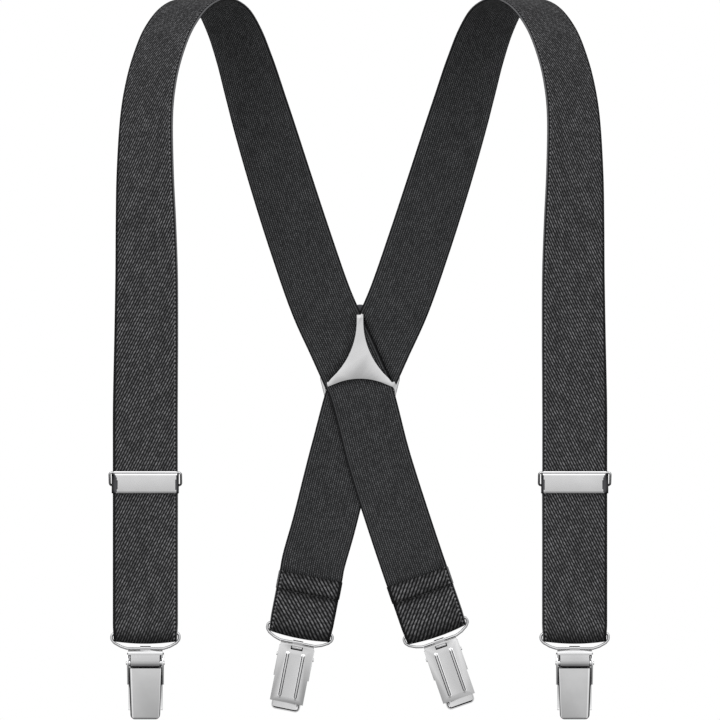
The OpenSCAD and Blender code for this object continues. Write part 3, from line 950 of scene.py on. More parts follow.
@dataclass(frozen=True)
class LooseFold:
    """The slack turn of the webbing round a ring's bar, measured in mm from the bar."""

    depth: float = 3.75
    sag: float = 1.3
    narrowing: float = 0.022
    steps: int = 24

    def turn(self, radius: float, start: float, end: float) -> list[Point2]:
        """The cloth's middle line round the bar, as (y, z), between two angles in degrees."""
        angles = [math.radians(start + (end - start) * k / self.steps) for k in range(self.steps + 1)]
        return [(radius * math.cos(a), self.depth * math.sin(a)) for a in angles]

    def settle(self, frames: list[ClothFrame], bar_z: float, stops: list[float]) -> list[ClothFrame]:
        """Lets the turn hang lower in its middle, draws its edges in and darkens it towards the bar with painted
        shade.

        Args:
            frames: the cross-sections.
            bar_z: the height of the ring's bar.
            stops: where the points lie across the cloth.

        Returns:
            The settled cross-sections.
        """
        settled = []
        for f in frames:
            amount = PlateThreading.ease((bar_z + 5 - f.centre.z) / 8)
            lift = tuple(
                Vector((-side * self.narrowing * amount, 0, -self.sag * (1 - (side / WEB_HALF) ** 2) * amount))
                for side in stops)
            # Painted shade deepening towards the ring's bar.
            dark = 0.75 * PlateThreading.ease((bar_z + 4 - f.centre.z) / 7)
            settled.append(ClothFrame(f.centre, f.across, f.out, f.along, lift, f.shade * (1 - dark)))
        return settled


@dataclass
class ShoulderStrap:
    """One side's webbing, from the front clip over the shoulder to the rear clip."""

    side: Side
    step: float = 1.4

    def __post_init__(self) -> None:
        """Works out the route and the cloth."""
        sign = self.side.sign
        stations = STRAP_ROUTE if self.side is Side.LEFT else [(-x, y, z, -a) for x, y, z, a in STRAP_ROUTE]
        self.curve = RouteCurve(stations)
        self.cloth = Webbing(mirror=sign)
        self.threading = PlateThreading()
        self.x = sign * 115.5
        self.joint_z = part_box(f"lower_front_web_{self.side.value}")[1].z / MM
        self.foot_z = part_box(f"lower_front_web_{self.side.value}")[0].z / MM

    def build(self) -> list[bpy.types.Object]:
        """Builds all of the side's webbing.

        Returns:
            The pieces, some of them riding on a body.
        """
        return [
            self.front(), self.over_shoulder(), self.back_leg(), self.lower_front(),
            self.front_fold(), self.tail(), self.tail_end(), self.tail_stitches(),
        ]

    def _frames(self, curve: RouteCurve, start: float, end: float, from_side: float = 0.0) -> list[ClothFrame]:
        """Cross-sections of a stretch of the route."""
        frames = []
        for t, along in curve.spaced(start, end, self.step):
            centre, across, out = curve.section(t)
            lift = ()
            if from_side:
                lift = tuple(
                    Vector((0, self.threading.push(centre + across * s, from_side), 0)) for s in self.cloth.stops())
            frames.append(ClothFrame(centre, across, out, along, lift))
        return frames

    def front(self) -> bpy.types.Object:
        """The front strap above the adjuster."""
        name = self.side.value
        piece = self.cloth.sweep(f"front_strap_{name}", self._frames(self.curve, 0, FRONT_END), TWILL, RIBBED)
        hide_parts(f"front_web_{name}")
        high, low = self.curve.at(FRONT_END), self.curve.at(1.0)
        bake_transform(piece)
        return piece

    def over_shoulder(self) -> bpy.types.Object:
        """The strap from the chest over the shoulder to the crossing."""
        name = self.side.value
        frames = self._frames(self.curve, FRONT_END, BACK_END, self.side.sign)
        piece = self.cloth.sweep(f"shoulder_strap_{name}", frames, TWILL, RIBBED)
        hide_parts(f"shoulder_web_{name}", f"back_web_{name}")
        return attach(piece, "root")

    def back_leg(self) -> bpy.types.Object:
        """The strap below the crossing, on the other side of the back."""
        start_length = self.curve.spaced(0, BACK_END, self.step)[-1][1]
        other = Side.RIGHT if self.side is Side.LEFT else Side.LEFT
        curve = RouteCurve(RIGHT_LEG_ROUTE if self.side is Side.LEFT else LEFT_LEG_ROUTE)
        frames = self._frames(curve, LEG_START, LEG_END, self.side.sign)
        shift = start_length - frames[0].along
        frames = [ClothFrame(f.centre, f.across, f.out, f.along + shift, f.lift) for f in frames]
        piece = self.cloth.sweep(f"back_leg_strap_{other.value}", frames, TWILL, RIBBED)
        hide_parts(f"back_leg_{other.value}")
        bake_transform(piece)
        return piece

    def _cross_frames(self, path: list[Point2], along: float, x: float) -> list[ClothFrame]:
        """Cross-sections of cloth that follows a path of (y, z) points."""
        frames = []
        for i, (y, z) in enumerate(path):
            before, after = Vector(path[max(0, i - 1)]), Vector(path[min(len(path) - 1, i + 1)])
            run = (after - before).normalized()
            if i:
                along += (Vector(path[i]) - Vector(path[i - 1])).length
            frames.append(ClothFrame(Vector((x, y, z)), Vector((1, 0, 0)), Vector((0, -run.y, run.x)), along))
        return frames

    def _straight(self, a: Point2, b: Point2) -> list[Point2]:
        """Even points from one place to another."""
        count = max(1, round((Vector(b) - Vector(a)).length / self.step))
        return [tuple(Vector(a).lerp(Vector(b), k / count)) for k in range(count + 1)]

    def lower_front(self) -> bpy.types.Object:
        """The front strap below the adjuster."""
        name = self.side.value
        path = self._straight((-42, self.foot_z), (-42, self.joint_z))
        frames = self._cross_frames(path, self.foot_z - self.joint_z, self.x)
        piece = self.cloth.sweep(f"lower_strap_{name}", frames, TWILL, RIBBED)
        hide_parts(f"lower_front_web_{name}")
        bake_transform(piece)
        return piece

    def front_fold(self) -> bpy.types.Object:
        """The turn of the webbing round the front clip's ring."""
        name = self.side.value
        ring = find_joint(f"front_{name}_ring_swing")
        bar_z = ring["pos_m"][2] / MM
        bar_y = -42 + FOLD_R
        fold = LooseFold()
        turn = [(bar_y + y, bar_z + z) for y, z in fold.turn(FOLD_R, 360, 180)]
        path = self._straight((bar_y + FOLD_R, self.foot_z), (bar_y + FOLD_R, bar_z))[:-1] + turn
        path += self._straight((bar_y - FOLD_R, bar_z), (bar_y - FOLD_R, self.foot_z))[1:]
        frames = self._cross_frames(path, 0.0, self.x)
        shift = self.foot_z - self.joint_z - frames[-1].along
        frames = [ClothFrame(f.centre, f.across, f.out, f.along + shift) for f in frames]
        frames = fold.settle(frames, bar_z, self.cloth.stops())
        piece = self.cloth.sweep(f"front_fold_cloth_{name}", frames, TWILL, RIBBED)
        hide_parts(f"front_fold_{name}")
        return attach(piece, f"front_loop_{name}")

    def tail(self) -> bpy.types.Object:
        """The webbing behind the strap, from the ring up to the adjuster."""
        name = self.side.value
        low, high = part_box(f"tail_web_{name}")
        foot = (high.y / MM - WEB_T / 2, low.z / MM)
        head = (low.y / MM + WEB_T / 2, high.z / MM)
        frames = self._cross_frames(self._straight(head, foot), 100.0, self.x)
        piece = self.cloth.sweep(f"tail_strap_{name}", frames, TWILL, RIBBED)
        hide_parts(f"tail_web_{name}")
        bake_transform(piece)
        return piece

    def tail_end(self) -> bpy.types.Object:
        """The webbing's end, sewn round the adjuster's rear bar."""
        name = self.side.value
        bar_low, bar_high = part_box(f"adjuster_bail_{name}")
        low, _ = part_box(f"tail_end_{name}")
        bar = (bar_high.y / MM - 0.636, bar_low.z / MM + 0.636)
        radius = 0.6 + 0.08 + WEB_T / 2
        front_y = bar[0] - radius
        turn = [(bar[0] + radius * math.cos(a), bar[1] + radius * math.sin(a))
                for a in (math.radians(180 * k / 14) for k in range(15))]
        back_y = front_y + WEB_T + 0.1
        back = [(front_y + 2, bar[1] - 7), (back_y + 0.12, bar[1] - 9), (back_y, bar[1] - 10.5)]
        head = self._straight((back_y, bar[1] - 21), back[-1])[:-1]
        path = head + list(reversed(back)) + turn + self._straight((front_y, bar[1]), (front_y, low.z / MM))[1:]
        frames = self._cross_frames(path, 40.0, self.x)
        piece = self.cloth.sweep(f"tail_end_cloth_{name}", frames, TWILL, RIBBED)
        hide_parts(f"tail_end_{name}")
        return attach(piece, f"adjuster_{name}")

    def tail_stitches(self) -> bpy.types.Object:
        """Two rows of thread through the webbing's sewn end."""
        name = self.side.value
        low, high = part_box(f"tail_stitches_{name}")
        row = StitchRow(half=WEB_HALF - 2, pitch=2.3)
        places = [Vector((self.x, (low.y + high.y) / 2 / MM, z)) for z in (low.z / MM + 0.28, high.z / MM - 0.28)]
        piece = row.make(f"tail_thread_{name}", [Matrix.Translation(p * MM) for p in places])
        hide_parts(f"tail_stitches_{name}")
        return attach(piece, f"adjuster_{name}")


@dataclass
class StitchRow:
    """A row of short stitches, each a plump loop of thread sunk at both ends, in mm."""

    half: float
    pitch: float
    radius: float = 0.26

    def make(self, name: str, places: list[Matrix]) -> bpy.types.Object:
        """Sews the rows.

        Args:
            name: the piece's name.
            places: where the middle of each row goes, with X along the row and -Y outwards.

        Returns:
            One piece with every stitch.
        """
        Bench.clear()
        bpy.ops.mesh.primitive_uv_sphere_add(
            segments=8, ring_count=6, radius=self.radius * MM, rotation=(0, math.pi / 2, 0))
        piece = bpy.context.object
        piece.name = piece.data.name = name
        Bench.place(piece, Matrix.Identity(4))
        Bench.edit(piece)
        bpy.ops.transform.resize(value=(self.pitch * 0.42 / self.radius, 1.0, 1.0))
        bpy.ops.object.mode_set(mode="OBJECT")
        single = piece.data.copy()
        count = int(2 * self.half // self.pitch)
        build = bmesh.new()
        for place in places:
            for i in range(count):
                shift = Matrix.Translation(Vector(((i - (count - 1) / 2) * self.pitch * MM, 0, 0)))
                stitch = single.copy()
                stitch.transform(place @ shift)
                build.from_mesh(stitch)
                bpy.data.meshes.remove(stitch)
        build.to_mesh(piece.data)
        build.free()
        Paintbox.dress(piece, THREAD)
        Bench.smooth(piece, 80.0)
        return piece


@dataclass
class BackEnd:
    """The folded and hemmed end of a rear leg, sewn round its clip's ring."""

    side: Side
    seam: float = 19.1
    flap: float = 29.7

    def build(self) -> list[bpy.types.Object]:
        """Builds the folded cloth and its stitches.

        Returns:
            The pieces.
        """
        clip = LeverClip(ClipPlace(f"back_{self.side.value}"))
        place = clip.matrix @ Matrix.Rotation(math.pi, 4, "Z")
        name = self.side.value
        cloth = Webbing(mirror=-self.side.sign)
        frames = LooseFold().settle(self._frames(self._path()), 0.0, cloth.stops())
        fold = cloth.sweep(f"back_fold_cloth_{name}", frames, TURNED, RIBBED)
        Bench.place(fold, place)
        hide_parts(f"back_fold_{name}")
        roll = Webbing(mirror=-self.side.sign, half=WEB_HALF + 0.35, thickness=1.8)
        rolled = self._frames(self._hem())
        last = len(rolled) - 1
        # Painted shade at the hem's top and bottom ends, full light in its middle.
        rolled = [ClothFrame(f.centre, f.across, f.out, f.along, (), 0.1 + 0.9 * math.sin(math.pi * k / last) ** 0.5)
                  for k, f in enumerate(rolled)]
        hem = roll.sweep(f"back_hem_{name}", rolled, TURNED, TURNED)
        Bench.place(hem, place)
        row = StitchRow(half=WEB_HALF - 1, pitch=2.2)
        thread = row.make(f"back_thread_{name}", [place @ Matrix.Translation(Vector((0, -0.95, self.seam)) * MM)])
        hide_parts(f"back_stitches_{name}")
        return [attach(piece, f"back_end_{name}") for piece in (fold, hem, thread)]

    def _path(self) -> list[Point2]:
        """The cloth from the leg round the ring and up to the seam, as (y, z)."""
        down = [(FOLD_R, self.flap - k * self.flap / 18) for k in range(18)]
        turn = LooseFold().turn(FOLD_R, 0, -180)
        up = [(-FOLD_R, 1.5), (-FOLD_R, 4), (-FOLD_R - 0.15, 7), (-FOLD_R - 0.2, 10), (-FOLD_R + 0.1, 13),
              (-1.1, 15.6), (-0.6, 17.6), (-0.3, self.seam), (-0.3, self.seam + 0.8)]
        return down + turn + up

    def _hem(self) -> list[Point2]:
        """The rolled hem above the seam, as (y, z)."""
        low, high = self.seam + 0.7, self.flap - 0.9
        steps = 16
        return [(-0.7 - 1.15 * math.sin(math.pi * k / steps) ** 0.6, low + (high - low) * k / steps)
                for k in range(steps + 1)]

    @staticmethod
    def _frames(path: list[Point2]) -> list[ClothFrame]:
        """Cross-sections that follow a path of (y, z) points, with painted shade on the y < 0 run just below the
        seam.
        """
        frames = []
        along = 0.0
        for i, (y, z) in enumerate(path):
            before, after = Vector(path[max(0, i - 1)]), Vector(path[min(len(path) - 1, i + 1)])
            run = (after - before).normalized()
            if i:
                along += (Vector(path[i]) - Vector(path[i - 1])).length
            # Painted shade in the valley below the hem's seam.
            shade = 1 - 0.85 * PlateThreading.ease((z - 16.4) / 2.2) if y < 0 else 1.0
            frames.append(
                ClothFrame(Vector((0, y, z)), Vector((1, 0, 0)), Vector((0, -run.y, run.x)), along, (), shade))
        return frames


@dataclass
class BackPlate:
    """The slotted metal plate at the crossing."""

    rounding: float = 0.35

    def build(self) -> list[bpy.types.Object]:
        """Finishes the plate."""
        piece = Bench.pressing("back_plate", "crossing_plate", self.rounding * MM, PLATE_METAL)
        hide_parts("back_plate")
        return [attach(piece, "root")]


@dataclass
class FrontAdjuster:
    """The flip cover and bent wire that set a front strap's length."""

    side: Side
    wire_radius: float = 0.6
    bend: float = 1.5
    half: float = 18.1
    sheet: float = 0.45
    shorter: float = 1.7
    foot_gap: float = 0.7
    outer_depth: float = 2.2
    inner_depth: float = 1.5

    def build(self) -> list[bpy.types.Object]:
        """Builds the cover and its wire."""
        return [self.cover(), self.bail()]

    def cover(self) -> bpy.types.Object:
        """The pressed cover: a bright turned-over top, a bowed face and ends that curve back."""
        name = self.side.value
        low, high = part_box(f"adjuster_cover_{name}")
        hinge = find_joint(f"adjuster_cover_flip_{name}")["pos_m"]
        size = Vector((high.x - low.x, 0, high.z - low.z - self.shorter * MM))
        Bench.clear()
        bpy.ops.mesh.primitive_grid_add(x_subdivisions=76, y_subdivisions=30, size=1.0, rotation=(math.pi / 2, 0, 0))
        piece = bpy.context.object
        piece.name = piece.data.name = f"cover_{name}"
        Bench.place(piece, Matrix.Identity(4))
        Bench.edit(piece)
        bpy.ops.transform.resize(value=(size.x, 1, size.z), center_override=(0, 0, 0))
        bpy.ops.object.mode_set(mode="OBJECT")
        Paintbox.dress(piece, COVER_METAL, COVER_SHADE)
        turned = [self._end(v.co.x / MM, (size.z / 2 - v.co.z) / size.z) for v in piece.data.vertices]
        # Faces well into the turned-back ends take the darker copy: painted shade on ends that also really curve
        # back.
        for face in piece.data.polygons:
            face.material_index = int(sum(turned[i] for i in face.vertices) / len(face.vertices) > 0.12)
        middle = Vector(((low.x + high.x) / 2, 0, low.z + self.foot_gap * MM + size.z / 2))
        for vertex, end in zip(piece.data.vertices, turned):
            down = size.z / 2 - vertex.co.z
            depth = self.outer_depth if vertex.co.x * self.side.sign > 0 else self.inner_depth
            vertex.co.y = low.y + 0.12 * MM + self._bow(down / MM, size.z / MM) * MM + depth * MM * end ** 1.8
            vertex.co += middle
        wall = piece.modifiers.new("wall", "SOLIDIFY")
        wall.thickness = self.sheet * MM
        wall.offset = -1.0
        Bench.finish_modifiers(piece)
        radius = hinge[1] - low.y - 0.15 * MM
        Bench.clear()
        bpy.ops.mesh.primitive_cylinder_add(
            vertices=36, radius=radius, depth=size.x - 2.4 * MM, location=(middle.x, hinge[1] + 0.1 * MM, hinge[2]),
            rotation=(0, math.pi / 2, 0))
        roll = bpy.context.object
        Bench.place(roll, Matrix.Identity(4))
        Paintbox.dress(roll, COVER_METAL, COVER_SHADE)
        Bench.bevel(roll, 0.2 * MM, 2, 50.0)
        Bench.join(piece, roll)
        Bench.smooth(piece, 30.0)
        Paintbox.dress(piece, COVER_METAL, COVER_SHADE)
        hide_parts(f"adjuster_cover_{name}")
        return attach(piece, f"adjuster_cover_{name}")

    def _end(self, x: float, t: float) -> float:
        """How far into the turned-back end a point is, from 0 at its crease to 1 at the cover's edge."""
        outer = x * self.side.sign > 0
        width = (0.9 + 3.0 * math.sin(math.pi * 0.86 * max(0.0, min(1.0, t))) ** 0.7) * (1.0 if outer else 0.55)
        return max(0.0, min(1.0, (abs(x) - (self.half - width)) / width))

    @staticmethod
    def _bow(down: float, height: float) -> float:
        """How far back the cover's face lies at a distance below its top, in mm."""
        crown = 0.8 * max(0.0, 1 - down / 1.3) ** 1.3
        lip = 0.7 * max(0.0, (down - height + 1.0) / 1.0) ** 2
        return 0.22 - 0.22 * (1 - (2 * down / height - 1) ** 2) + crown + lip

    def bail(self) -> bpy.types.Object:
        """The wire that runs from the cover's hinge round to the webbing's sewn end."""
        name = self.side.value
        low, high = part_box(f"adjuster_bail_{name}")
        hinge = find_joint(f"adjuster_cover_flip_{name}")
        middle_x = (low.x + high.x) / 2
        ball = self.wire_radius * 1.06 * MM
        arm = (high.x - low.x) / 2 - ball
        inner = arm - 5.0 * MM
        front_y, front_z = hinge["pos_m"][1], hinge["pos_m"][2]
        rear_y, rear_z = high.y - ball, low.z + ball
        outline = [(-inner, front_y, front_z), (-arm, front_y, front_z), (-arm, rear_y, rear_z),
                   (arm, rear_y, rear_z), (arm, front_y, front_z), (inner, front_y, front_z)]
        points = [Vector((middle_x + x, y, z)) for x, y, z in outline]
        piece = BentWire(self.wire_radius * MM, self.bend * MM).make(f"bail_{name}", points, closed=False)
        Paintbox.dress(piece, WIRE_METAL)
        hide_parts(f"adjuster_bail_{name}")
        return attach(piece, f"adjuster_{name}")


@dataclass
class LeverClip:
    """A ring, a toothed body, a jaw, a pin and a lever that closes them on the waistband."""

    where: ClipPlace
    ring_half: float = 18.2
    foot_half: float = 9.8
    rib_x: float = 4.3
    rib_radius: float = 0.9
    rib_length: float = 24.0
    rib_middle: float = 18.25
    lever_top: float = 10.5
    lever_depth: float = 3.4
    lever_taper: float = 0.89
    lever_sheet: float = 0.6
    wire_radius: float = RING_R

    @property
    def matrix(self) -> Matrix:
        """The clip's own place: origin at the ring's top bar, -Z down the clip and -Y through its lever."""
        name = self.where.value
        top = find_joint(f"{name}_ring_swing")
        across = Vector(top["axis"]).normalized()
        up = (Vector(top["pos_m"]) - Vector(find_joint(f"{name}_clip_swing")["pos_m"])).normalized()
        turned = Matrix((across, up.cross(across), up)).transposed().to_4x4()
        return Matrix.Translation(Vector(top["pos_m"])) @ turned

    @property
    def drop(self) -> float:
        """From the ring's top bar to its lower bar, in mm."""
        top = Vector(find_joint(f"{self.where.value}_ring_swing")["pos_m"])
        return (top - Vector(find_joint(f"{self.where.value}_clip_swing")["pos_m"])).length / MM

    def build(self) -> list[bpy.types.Object]:
        """Builds the clip's pieces."""
        return [self.ring(), self.body(), self.jaw(), self.lever(), self.pin()]

    def _finish(self, piece: bpy.types.Object, node: str, body: str, *finishes: MetalFinish) -> bpy.types.Object:
        """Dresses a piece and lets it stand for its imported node."""
        Paintbox.dress(piece, *finishes)
        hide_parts(f"{self.where.value}_{node}")
        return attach(piece, f"{self.where.value}_{body}")

    def ring(self) -> bpy.types.Object:
        """The bent wire ring between the webbing and the clip."""
        right = [(self.ring_half, 0), (self.ring_half, -self.drop * 0.41), (16.6, -self.drop * 0.64),
                 (13.2, -self.drop * 0.87), (self.foot_half, -self.drop)]
        outline = [(0, 0), *right, *[(-x, z) for x, z in reversed(right)], (0, 0)]
        points = [Vector((x, 0, z)) * MM for x, z in outline]
        piece = BentWire(self.wire_radius * MM, 2.2 * MM).make(f"{self.where.value}_wire_ring", points, closed=True)
        Bench.place(piece, self.matrix)
        return self._finish(piece, "ring", "ring", WIRE_METAL)

    def body(self) -> bpy.types.Object:
        """The back sheet with ribs, ears and teeth."""
        name = self.where.value
        piece = Bench.pressing(f"{name}_clip_body", f"{name}_back_sheet", 0.34 * MM, CLIP_METAL)
        _, high = self._local_box(f"{name}_clip_body")
        middle_z = self._local(f"{name}_clip_swing")[1] - self.rib_middle * MM
        for sign in (-1, 1):
            Bench.clear()
            bpy.ops.mesh.primitive_cylinder_add(
                vertices=32, radius=self.rib_radius * MM, depth=self.rib_length * MM,
                location=(sign * self.rib_x * MM, high.y - 0.2 * MM, middle_z))
            rib = bpy.context.object
            Bench.place(rib, Matrix.Identity(4))
            Bench.bevel(rib, 0.7 * MM, 5, 50.0)
            Paintbox.dress(rib, CLIP_METAL, EDGE_SHADE_METAL)
            # The ribs' side walls take the darker edge metal: painted shade beside each rib.
            for face in rib.data.polygons:
                face.material_index = int(abs(face.normal.x) > 0.42)
            Bench.place(rib, self.matrix)
            Bench.join(piece, rib)
        Bench.smooth(piece)
        return self._finish(piece, "clip_body", "clip", CLIP_METAL, EDGE_SHADE_METAL)

    def jaw(self) -> bpy.types.Object:
        """The sprung front leaf that rolls round the ring."""
        piece = Bench.pressing(f"{self.where.value}_clip_jaw", f"{self.where.value}_leaf", 0.3 * MM, LEAF_METAL)
        return self._finish(piece, "clip_jaw", "jaw", LEAF_METAL, EDGE_SHADE_METAL)

    def lever(self) -> bpy.types.Object:
        """The cover that flips up to open the clip, a shallow tray with rounded long edges."""
        name = self.where.value
        low, high = self._local_box(f"{name}_clip_lever")
        pin_y, pin_z = self._local(f"{name}_lever_flip")
        top_z = self._local(f"{name}_clip_swing")[1] - self.lever_top * MM
        size = Vector((high.x - low.x, self.lever_depth * MM, top_z - low.z))
        Bench.clear()
        bpy.ops.mesh.primitive_cube_add(size=1.0, location=(0, low.y + size.y / 2, low.z + size.z / 2))
        piece = bpy.context.object
        piece.name = piece.data.name = f"{name}_lever_cover"
        Bench.edit(piece)
        bpy.ops.transform.resize(value=size, center_override=piece.location)
        bpy.ops.object.mode_set(mode="OBJECT")
        Bench.place(piece, Matrix.Identity(4))
        Bench.pick(piece, "VERT", lambda v: v.co.z < low.z + 1e-5)
        bpy.ops.transform.resize(value=(self.lever_taper, 1, 1), center_override=(0, 0, low.z))
        Bench.pick(piece, "FACE", lambda f: f.normal.y > 0.9 or f.normal.z > 0.9)
        bpy.ops.mesh.delete(type="FACE")
        bpy.ops.object.mode_set(mode="OBJECT")
        self._round_tray(piece, low)
        for sign in (-1, 1):
            self._add_lobe(piece, sign * (high.x - 0.4 * MM), pin_y, pin_z)
        Bench.smooth(piece, 42.0)
        Paintbox.dress(piece, CLIP_METAL, EDGE_SHADE_METAL)
        # The lever's sides and ends take the darker edge metal: painted shade as a dark outline.
        for face in piece.data.polygons:
            face.material_index = int(abs(face.normal.x) > 0.8 or abs(face.normal.z) > 0.8)
        Bench.place(piece, self.matrix)
        return self._finish(piece, "clip_lever", "lever", CLIP_METAL, EDGE_SHADE_METAL)

    def _local_box(self, node: str) -> tuple[Vector, Vector]:
        """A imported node's box in the clip's own coordinates."""
        back = self.matrix.inverted()
        points = [back @ v.co for v in frame["nodes"][node].data.vertices]
        low = Vector(min(p[i] for p in points) for i in range(3))
        high = Vector(max(p[i] for p in points) for i in range(3))
        return low, high

    def _local(self, joint: str) -> tuple[float, float]:
        """A joint's place in the clip's own coordinates, as (y, z)."""
        place = self.matrix.inverted() @ Vector(find_joint(joint)["pos_m"])
        return place.y, place.z

    def _round_tray(self, piece: bpy.types.Object, low: Vector) -> None:
        """Rounds a tray's edges, its outer long edge most, and gives it a wall."""
        outer = 1 if "right" in self.where.value else -1
        weights = piece.data.attributes.new("bevel_weight_edge", "FLOAT", "EDGE")
        for edge in piece.data.edges:
            a, b = (piece.data.vertices[i].co for i in edge.vertices)
            middle = (a + b) / 2
            if abs(a.y - b.y) > 1e-5:
                weights.data[edge.index].value = 1.0 if middle.z < low.z + 1e-5 else 0.0
            elif middle.y < low.y + 1e-5 and abs(a.z - b.z) > 1e-5:
                weights.data[edge.index].value = 0.95 if middle.x * outer > 0 else 0.4
            elif middle.y < low.y + 1e-5 and middle.z < low.z + 1e-5:
                weights.data[edge.index].value = 0.55
        rounding = piece.modifiers.new("rounding", "BEVEL")
        rounding.width = 2.4 * MM
        rounding.segments = 8
        rounding.limit_method = "WEIGHT"
        rounding.use_clamp_overlap = False
        wall = piece.modifiers.new("wall", "SOLIDIFY")
        wall.thickness = self.lever_sheet * MM
        wall.offset = -1.0
        Bench.finish_modifiers(piece)

    @staticmethod
    def _add_lobe(piece: bpy.types.Object, x: float, y: float, z: float) -> None:
        """Adds one round ear of the lever, where the pin passes through."""
        Bench.clear()
        bpy.ops.mesh.primitive_cylinder_add(
            vertices=32, radius=1.7 * MM, depth=0.8 * MM, location=(x, y, z), rotation=(0, math.pi / 2, 0))
        lobe = bpy.context.object
        Bench.place(lobe, Matrix.Identity(4))
        Bench.bevel(lobe, 0.15 * MM, 2, 50.0)
        Bench.join(piece, lobe)

    def pin(self) -> bpy.types.Object:
        """The hinge pin with peened ends."""
        name = self.where.value
        at = Vector(find_joint(f"{name}_lever_flip")["pos_m"])
        length, radius = 20.8 * MM, 0.9 * MM
        Bench.clear()
        bpy.ops.mesh.primitive_cylinder_add(vertices=28, radius=radius, depth=length, rotation=(0, math.pi / 2, 0))
        piece = bpy.context.object
        piece.name = piece.data.name = f"{name}_hinge_pin"
        Bench.place(piece, Matrix.Identity(4))
        Bench.edit(piece, everything=False)
        bpy.ops.object.mode_set(mode="OBJECT")
        for face in piece.data.polygons:
            face.select = abs(face.normal.x) > 0.9
        Bench.hold(piece)
        bpy.ops.object.mode_set(mode="EDIT")
        bpy.ops.mesh.select_mode(type="FACE")
        bpy.ops.mesh.inset(thickness=0.3 * MM, depth=0.0)
        bpy.ops.mesh.select_mode(type="VERT")
        bpy.ops.object.mode_set(mode="OBJECT")
        Bench.bevel(piece, 0.22 * MM, 3, 50.0)
        Bench.smooth(piece, 50.0)
        turned = self.matrix.to_3x3().to_4x4()
        Bench.place(piece, Matrix.Translation(at) @ turned)
        return self._finish(piece, "clip_pin", "clip", CLIP_METAL)


# ---------------------------------------------------------------- studio


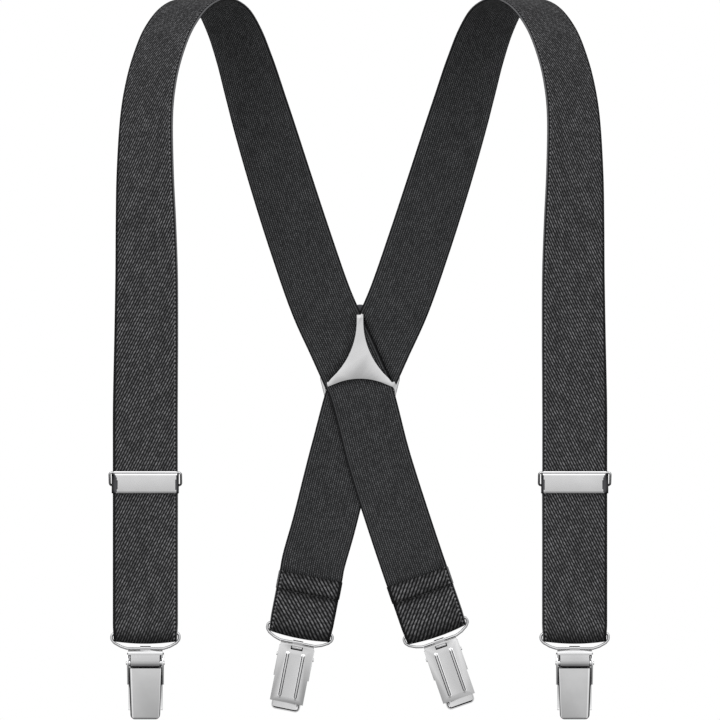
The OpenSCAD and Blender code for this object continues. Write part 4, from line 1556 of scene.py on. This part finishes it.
@dataclass
class Studio:
    """Pale floor, white surround, soft lights and the camera."""

    distance: float = 3.513
    eye_level: float = -0.1955
    lens: float = 322.6
    floor_drop: float = 0.085

    def build(self) -> None:
        """Sets up everything that isn't part of the object."""
        self.floor()
        self.surround()
        self.lights()
        self.camera()

    def floor(self) -> None:
        """A round sheet of pale paper below the clips."""
        Bench.clear()
        bpy.ops.mesh.primitive_circle_add(
            vertices=96, radius=PAPER.radius, fill_type="NGON", location=(0, 0, CAD_BOX[0].z - self.floor_drop))
        floor = bpy.context.object
        floor.name = "floor"
        floor.data.materials.append(Paintbox.get(PAPER))
        floor.visible_glossy = False

    def surround(self) -> None:
        """White for the eye, and a softly banded room for the metal to mirror."""
        world = bpy.data.worlds.new("studio")
        bpy.context.scene.world = world
        world.use_nodes = True
        tree = world.node_tree
        tree.nodes.clear()
        coords = tree.nodes.new("ShaderNodeTexCoord")
        split = tree.nodes.new("ShaderNodeSeparateXYZ")
        tree.links.new(coords.outputs["Generated"], split.inputs[0])
        height = self._ramp(tree, split.outputs["Z"], [
            (0.0, 0.25), (0.25, 0.5), (0.44, 0.86), (0.5, 1.0), (0.6, 1.12), (0.75, 1.5), (0.9, 1.8), (1.0, 1.3)])
        side = self._ramp(tree, split.outputs["X"], [
            (0.0, 0.5), (0.12, 1.25), (0.3, 1.0), (0.5, 0.98), (0.7, 1.0), (0.88, 1.25), (1.0, 0.5)])
        depth = self._ramp(tree, split.outputs["Y"], [
            (0.0, 0.76), (0.08, 0.78), (0.2, 1.0), (0.34, 1.5), (0.46, 0.8), (0.56, 0.25), (0.7, 0.05), (1.0, 0.02)])
        wall = self._times(tree, height, side)
        room = self._times(tree, wall, depth)
        seen = tree.nodes.new("ShaderNodeBackground")
        seen.inputs["Color"].default_value = (1.0, 1.0, 1.0, 1.0)
        mirrored = tree.nodes.new("ShaderNodeBackground")
        tree.links.new(room, mirrored.inputs["Color"])
        path = tree.nodes.new("ShaderNodeLightPath")
        mix = tree.nodes.new("ShaderNodeMixShader")
        output = tree.nodes.new("ShaderNodeOutputWorld")
        tree.links.new(path.outputs["Is Camera Ray"], mix.inputs[0])
        tree.links.new(mirrored.outputs[0], mix.inputs[1])
        tree.links.new(seen.outputs[0], mix.inputs[2])
        tree.links.new(mix.outputs[0], output.inputs["Surface"])

    @staticmethod
    def _times(
        tree: bpy.types.NodeTree, first: bpy.types.NodeSocket, second: bpy.types.NodeSocket
    ) -> bpy.types.NodeSocket:
        """One level times another."""
        node = tree.nodes.new("ShaderNodeMath")
        node.operation = "MULTIPLY"
        tree.links.new(first, node.inputs[0])
        tree.links.new(second, node.inputs[1])
        return node.outputs[0]

    @staticmethod
    def _ramp(
        tree: bpy.types.NodeTree, value: bpy.types.NodeSocket, stops: list[tuple[float, float]]
    ) -> bpy.types.NodeSocket:
        """A grey ramp over a direction's component, which runs from -1 to 1."""
        shift = tree.nodes.new("ShaderNodeMapRange")
        shift.inputs["From Min"].default_value = -1.0
        tree.links.new(value, shift.inputs["Value"])
        ramp = tree.nodes.new("ShaderNodeValToRGB")
        tree.links.new(shift.outputs["Result"], ramp.inputs["Fac"])
        elements = ramp.color_ramp.elements
        while len(elements) < len(stops):
            elements.new(0.5)
        for element, (position, level) in zip(elements, stops):
            element.position = position
            element.color = (level, level, level, 1.0)
        return ramp.outputs["Color"]

    def lights(self) -> None:
        """Two soft boxes in front and one behind."""
        self._box_light("key", (-1.3, -1.8, 1.0), 1.2, 40.0)
        self._box_light("fill", (1.6, -1.6, 0.2), 1.4, 20.0)
        self._box_light("rim", (0.2, 1.8, 1.0), 1.2, 20.0)

    @staticmethod
    def _box_light(name: str, place: tuple[float, float, float], size: float, power: float) -> None:
        """Adds one square soft box that points at the middle of the object."""
        data = bpy.data.lights.new(name, "AREA")
        data.size = size
        data.energy = power
        light = bpy.data.objects.new(name, data)
        light.location = place
        light.visible_glossy = False
        target = Vector((0, 0, -0.2))
        light.rotation_euler = (target - Vector(place)).to_track_quat("-Z", "Y").to_euler()
        bpy.context.scene.collection.objects.link(light)

    def camera(self) -> None:
        """A long lens straight in front, level with the middle of the object."""
        data = bpy.data.cameras.new("camera")
        data.lens = self.lens
        data.sensor_width = 36.0
        data.clip_end = 50.0
        camera = bpy.data.objects.new("camera", data)
        camera.location = (0, -self.distance, self.eye_level)
        camera.rotation_euler = (math.pi / 2, 0, 0)
        bpy.context.scene.collection.objects.link(camera)
        bpy.context.scene.camera = camera
        bpy.context.scene.view_settings.view_transform = "Standard"


def main() -> None:
    """Builds the suspenders piece by piece and reports each one."""
    logging.basicConfig(level=logging.INFO, format="%(name)s: %(message)s")
    Studio().build()
    assemblies: list[object] = [ShoulderStrap(side) for side in Side]
    assemblies += [BackEnd(side) for side in Side]
    assemblies.append(BackPlate())
    assemblies += [FrontAdjuster(side) for side in Side]
    assemblies += [LeverClip(place) for place in ClipPlace]
    for assembly in assemblies:
        for piece in assembly.build():
            log.info("%s: %d faces", piece.name, len(piece.data.polygons))


if __name__ == "__main__":
    main()
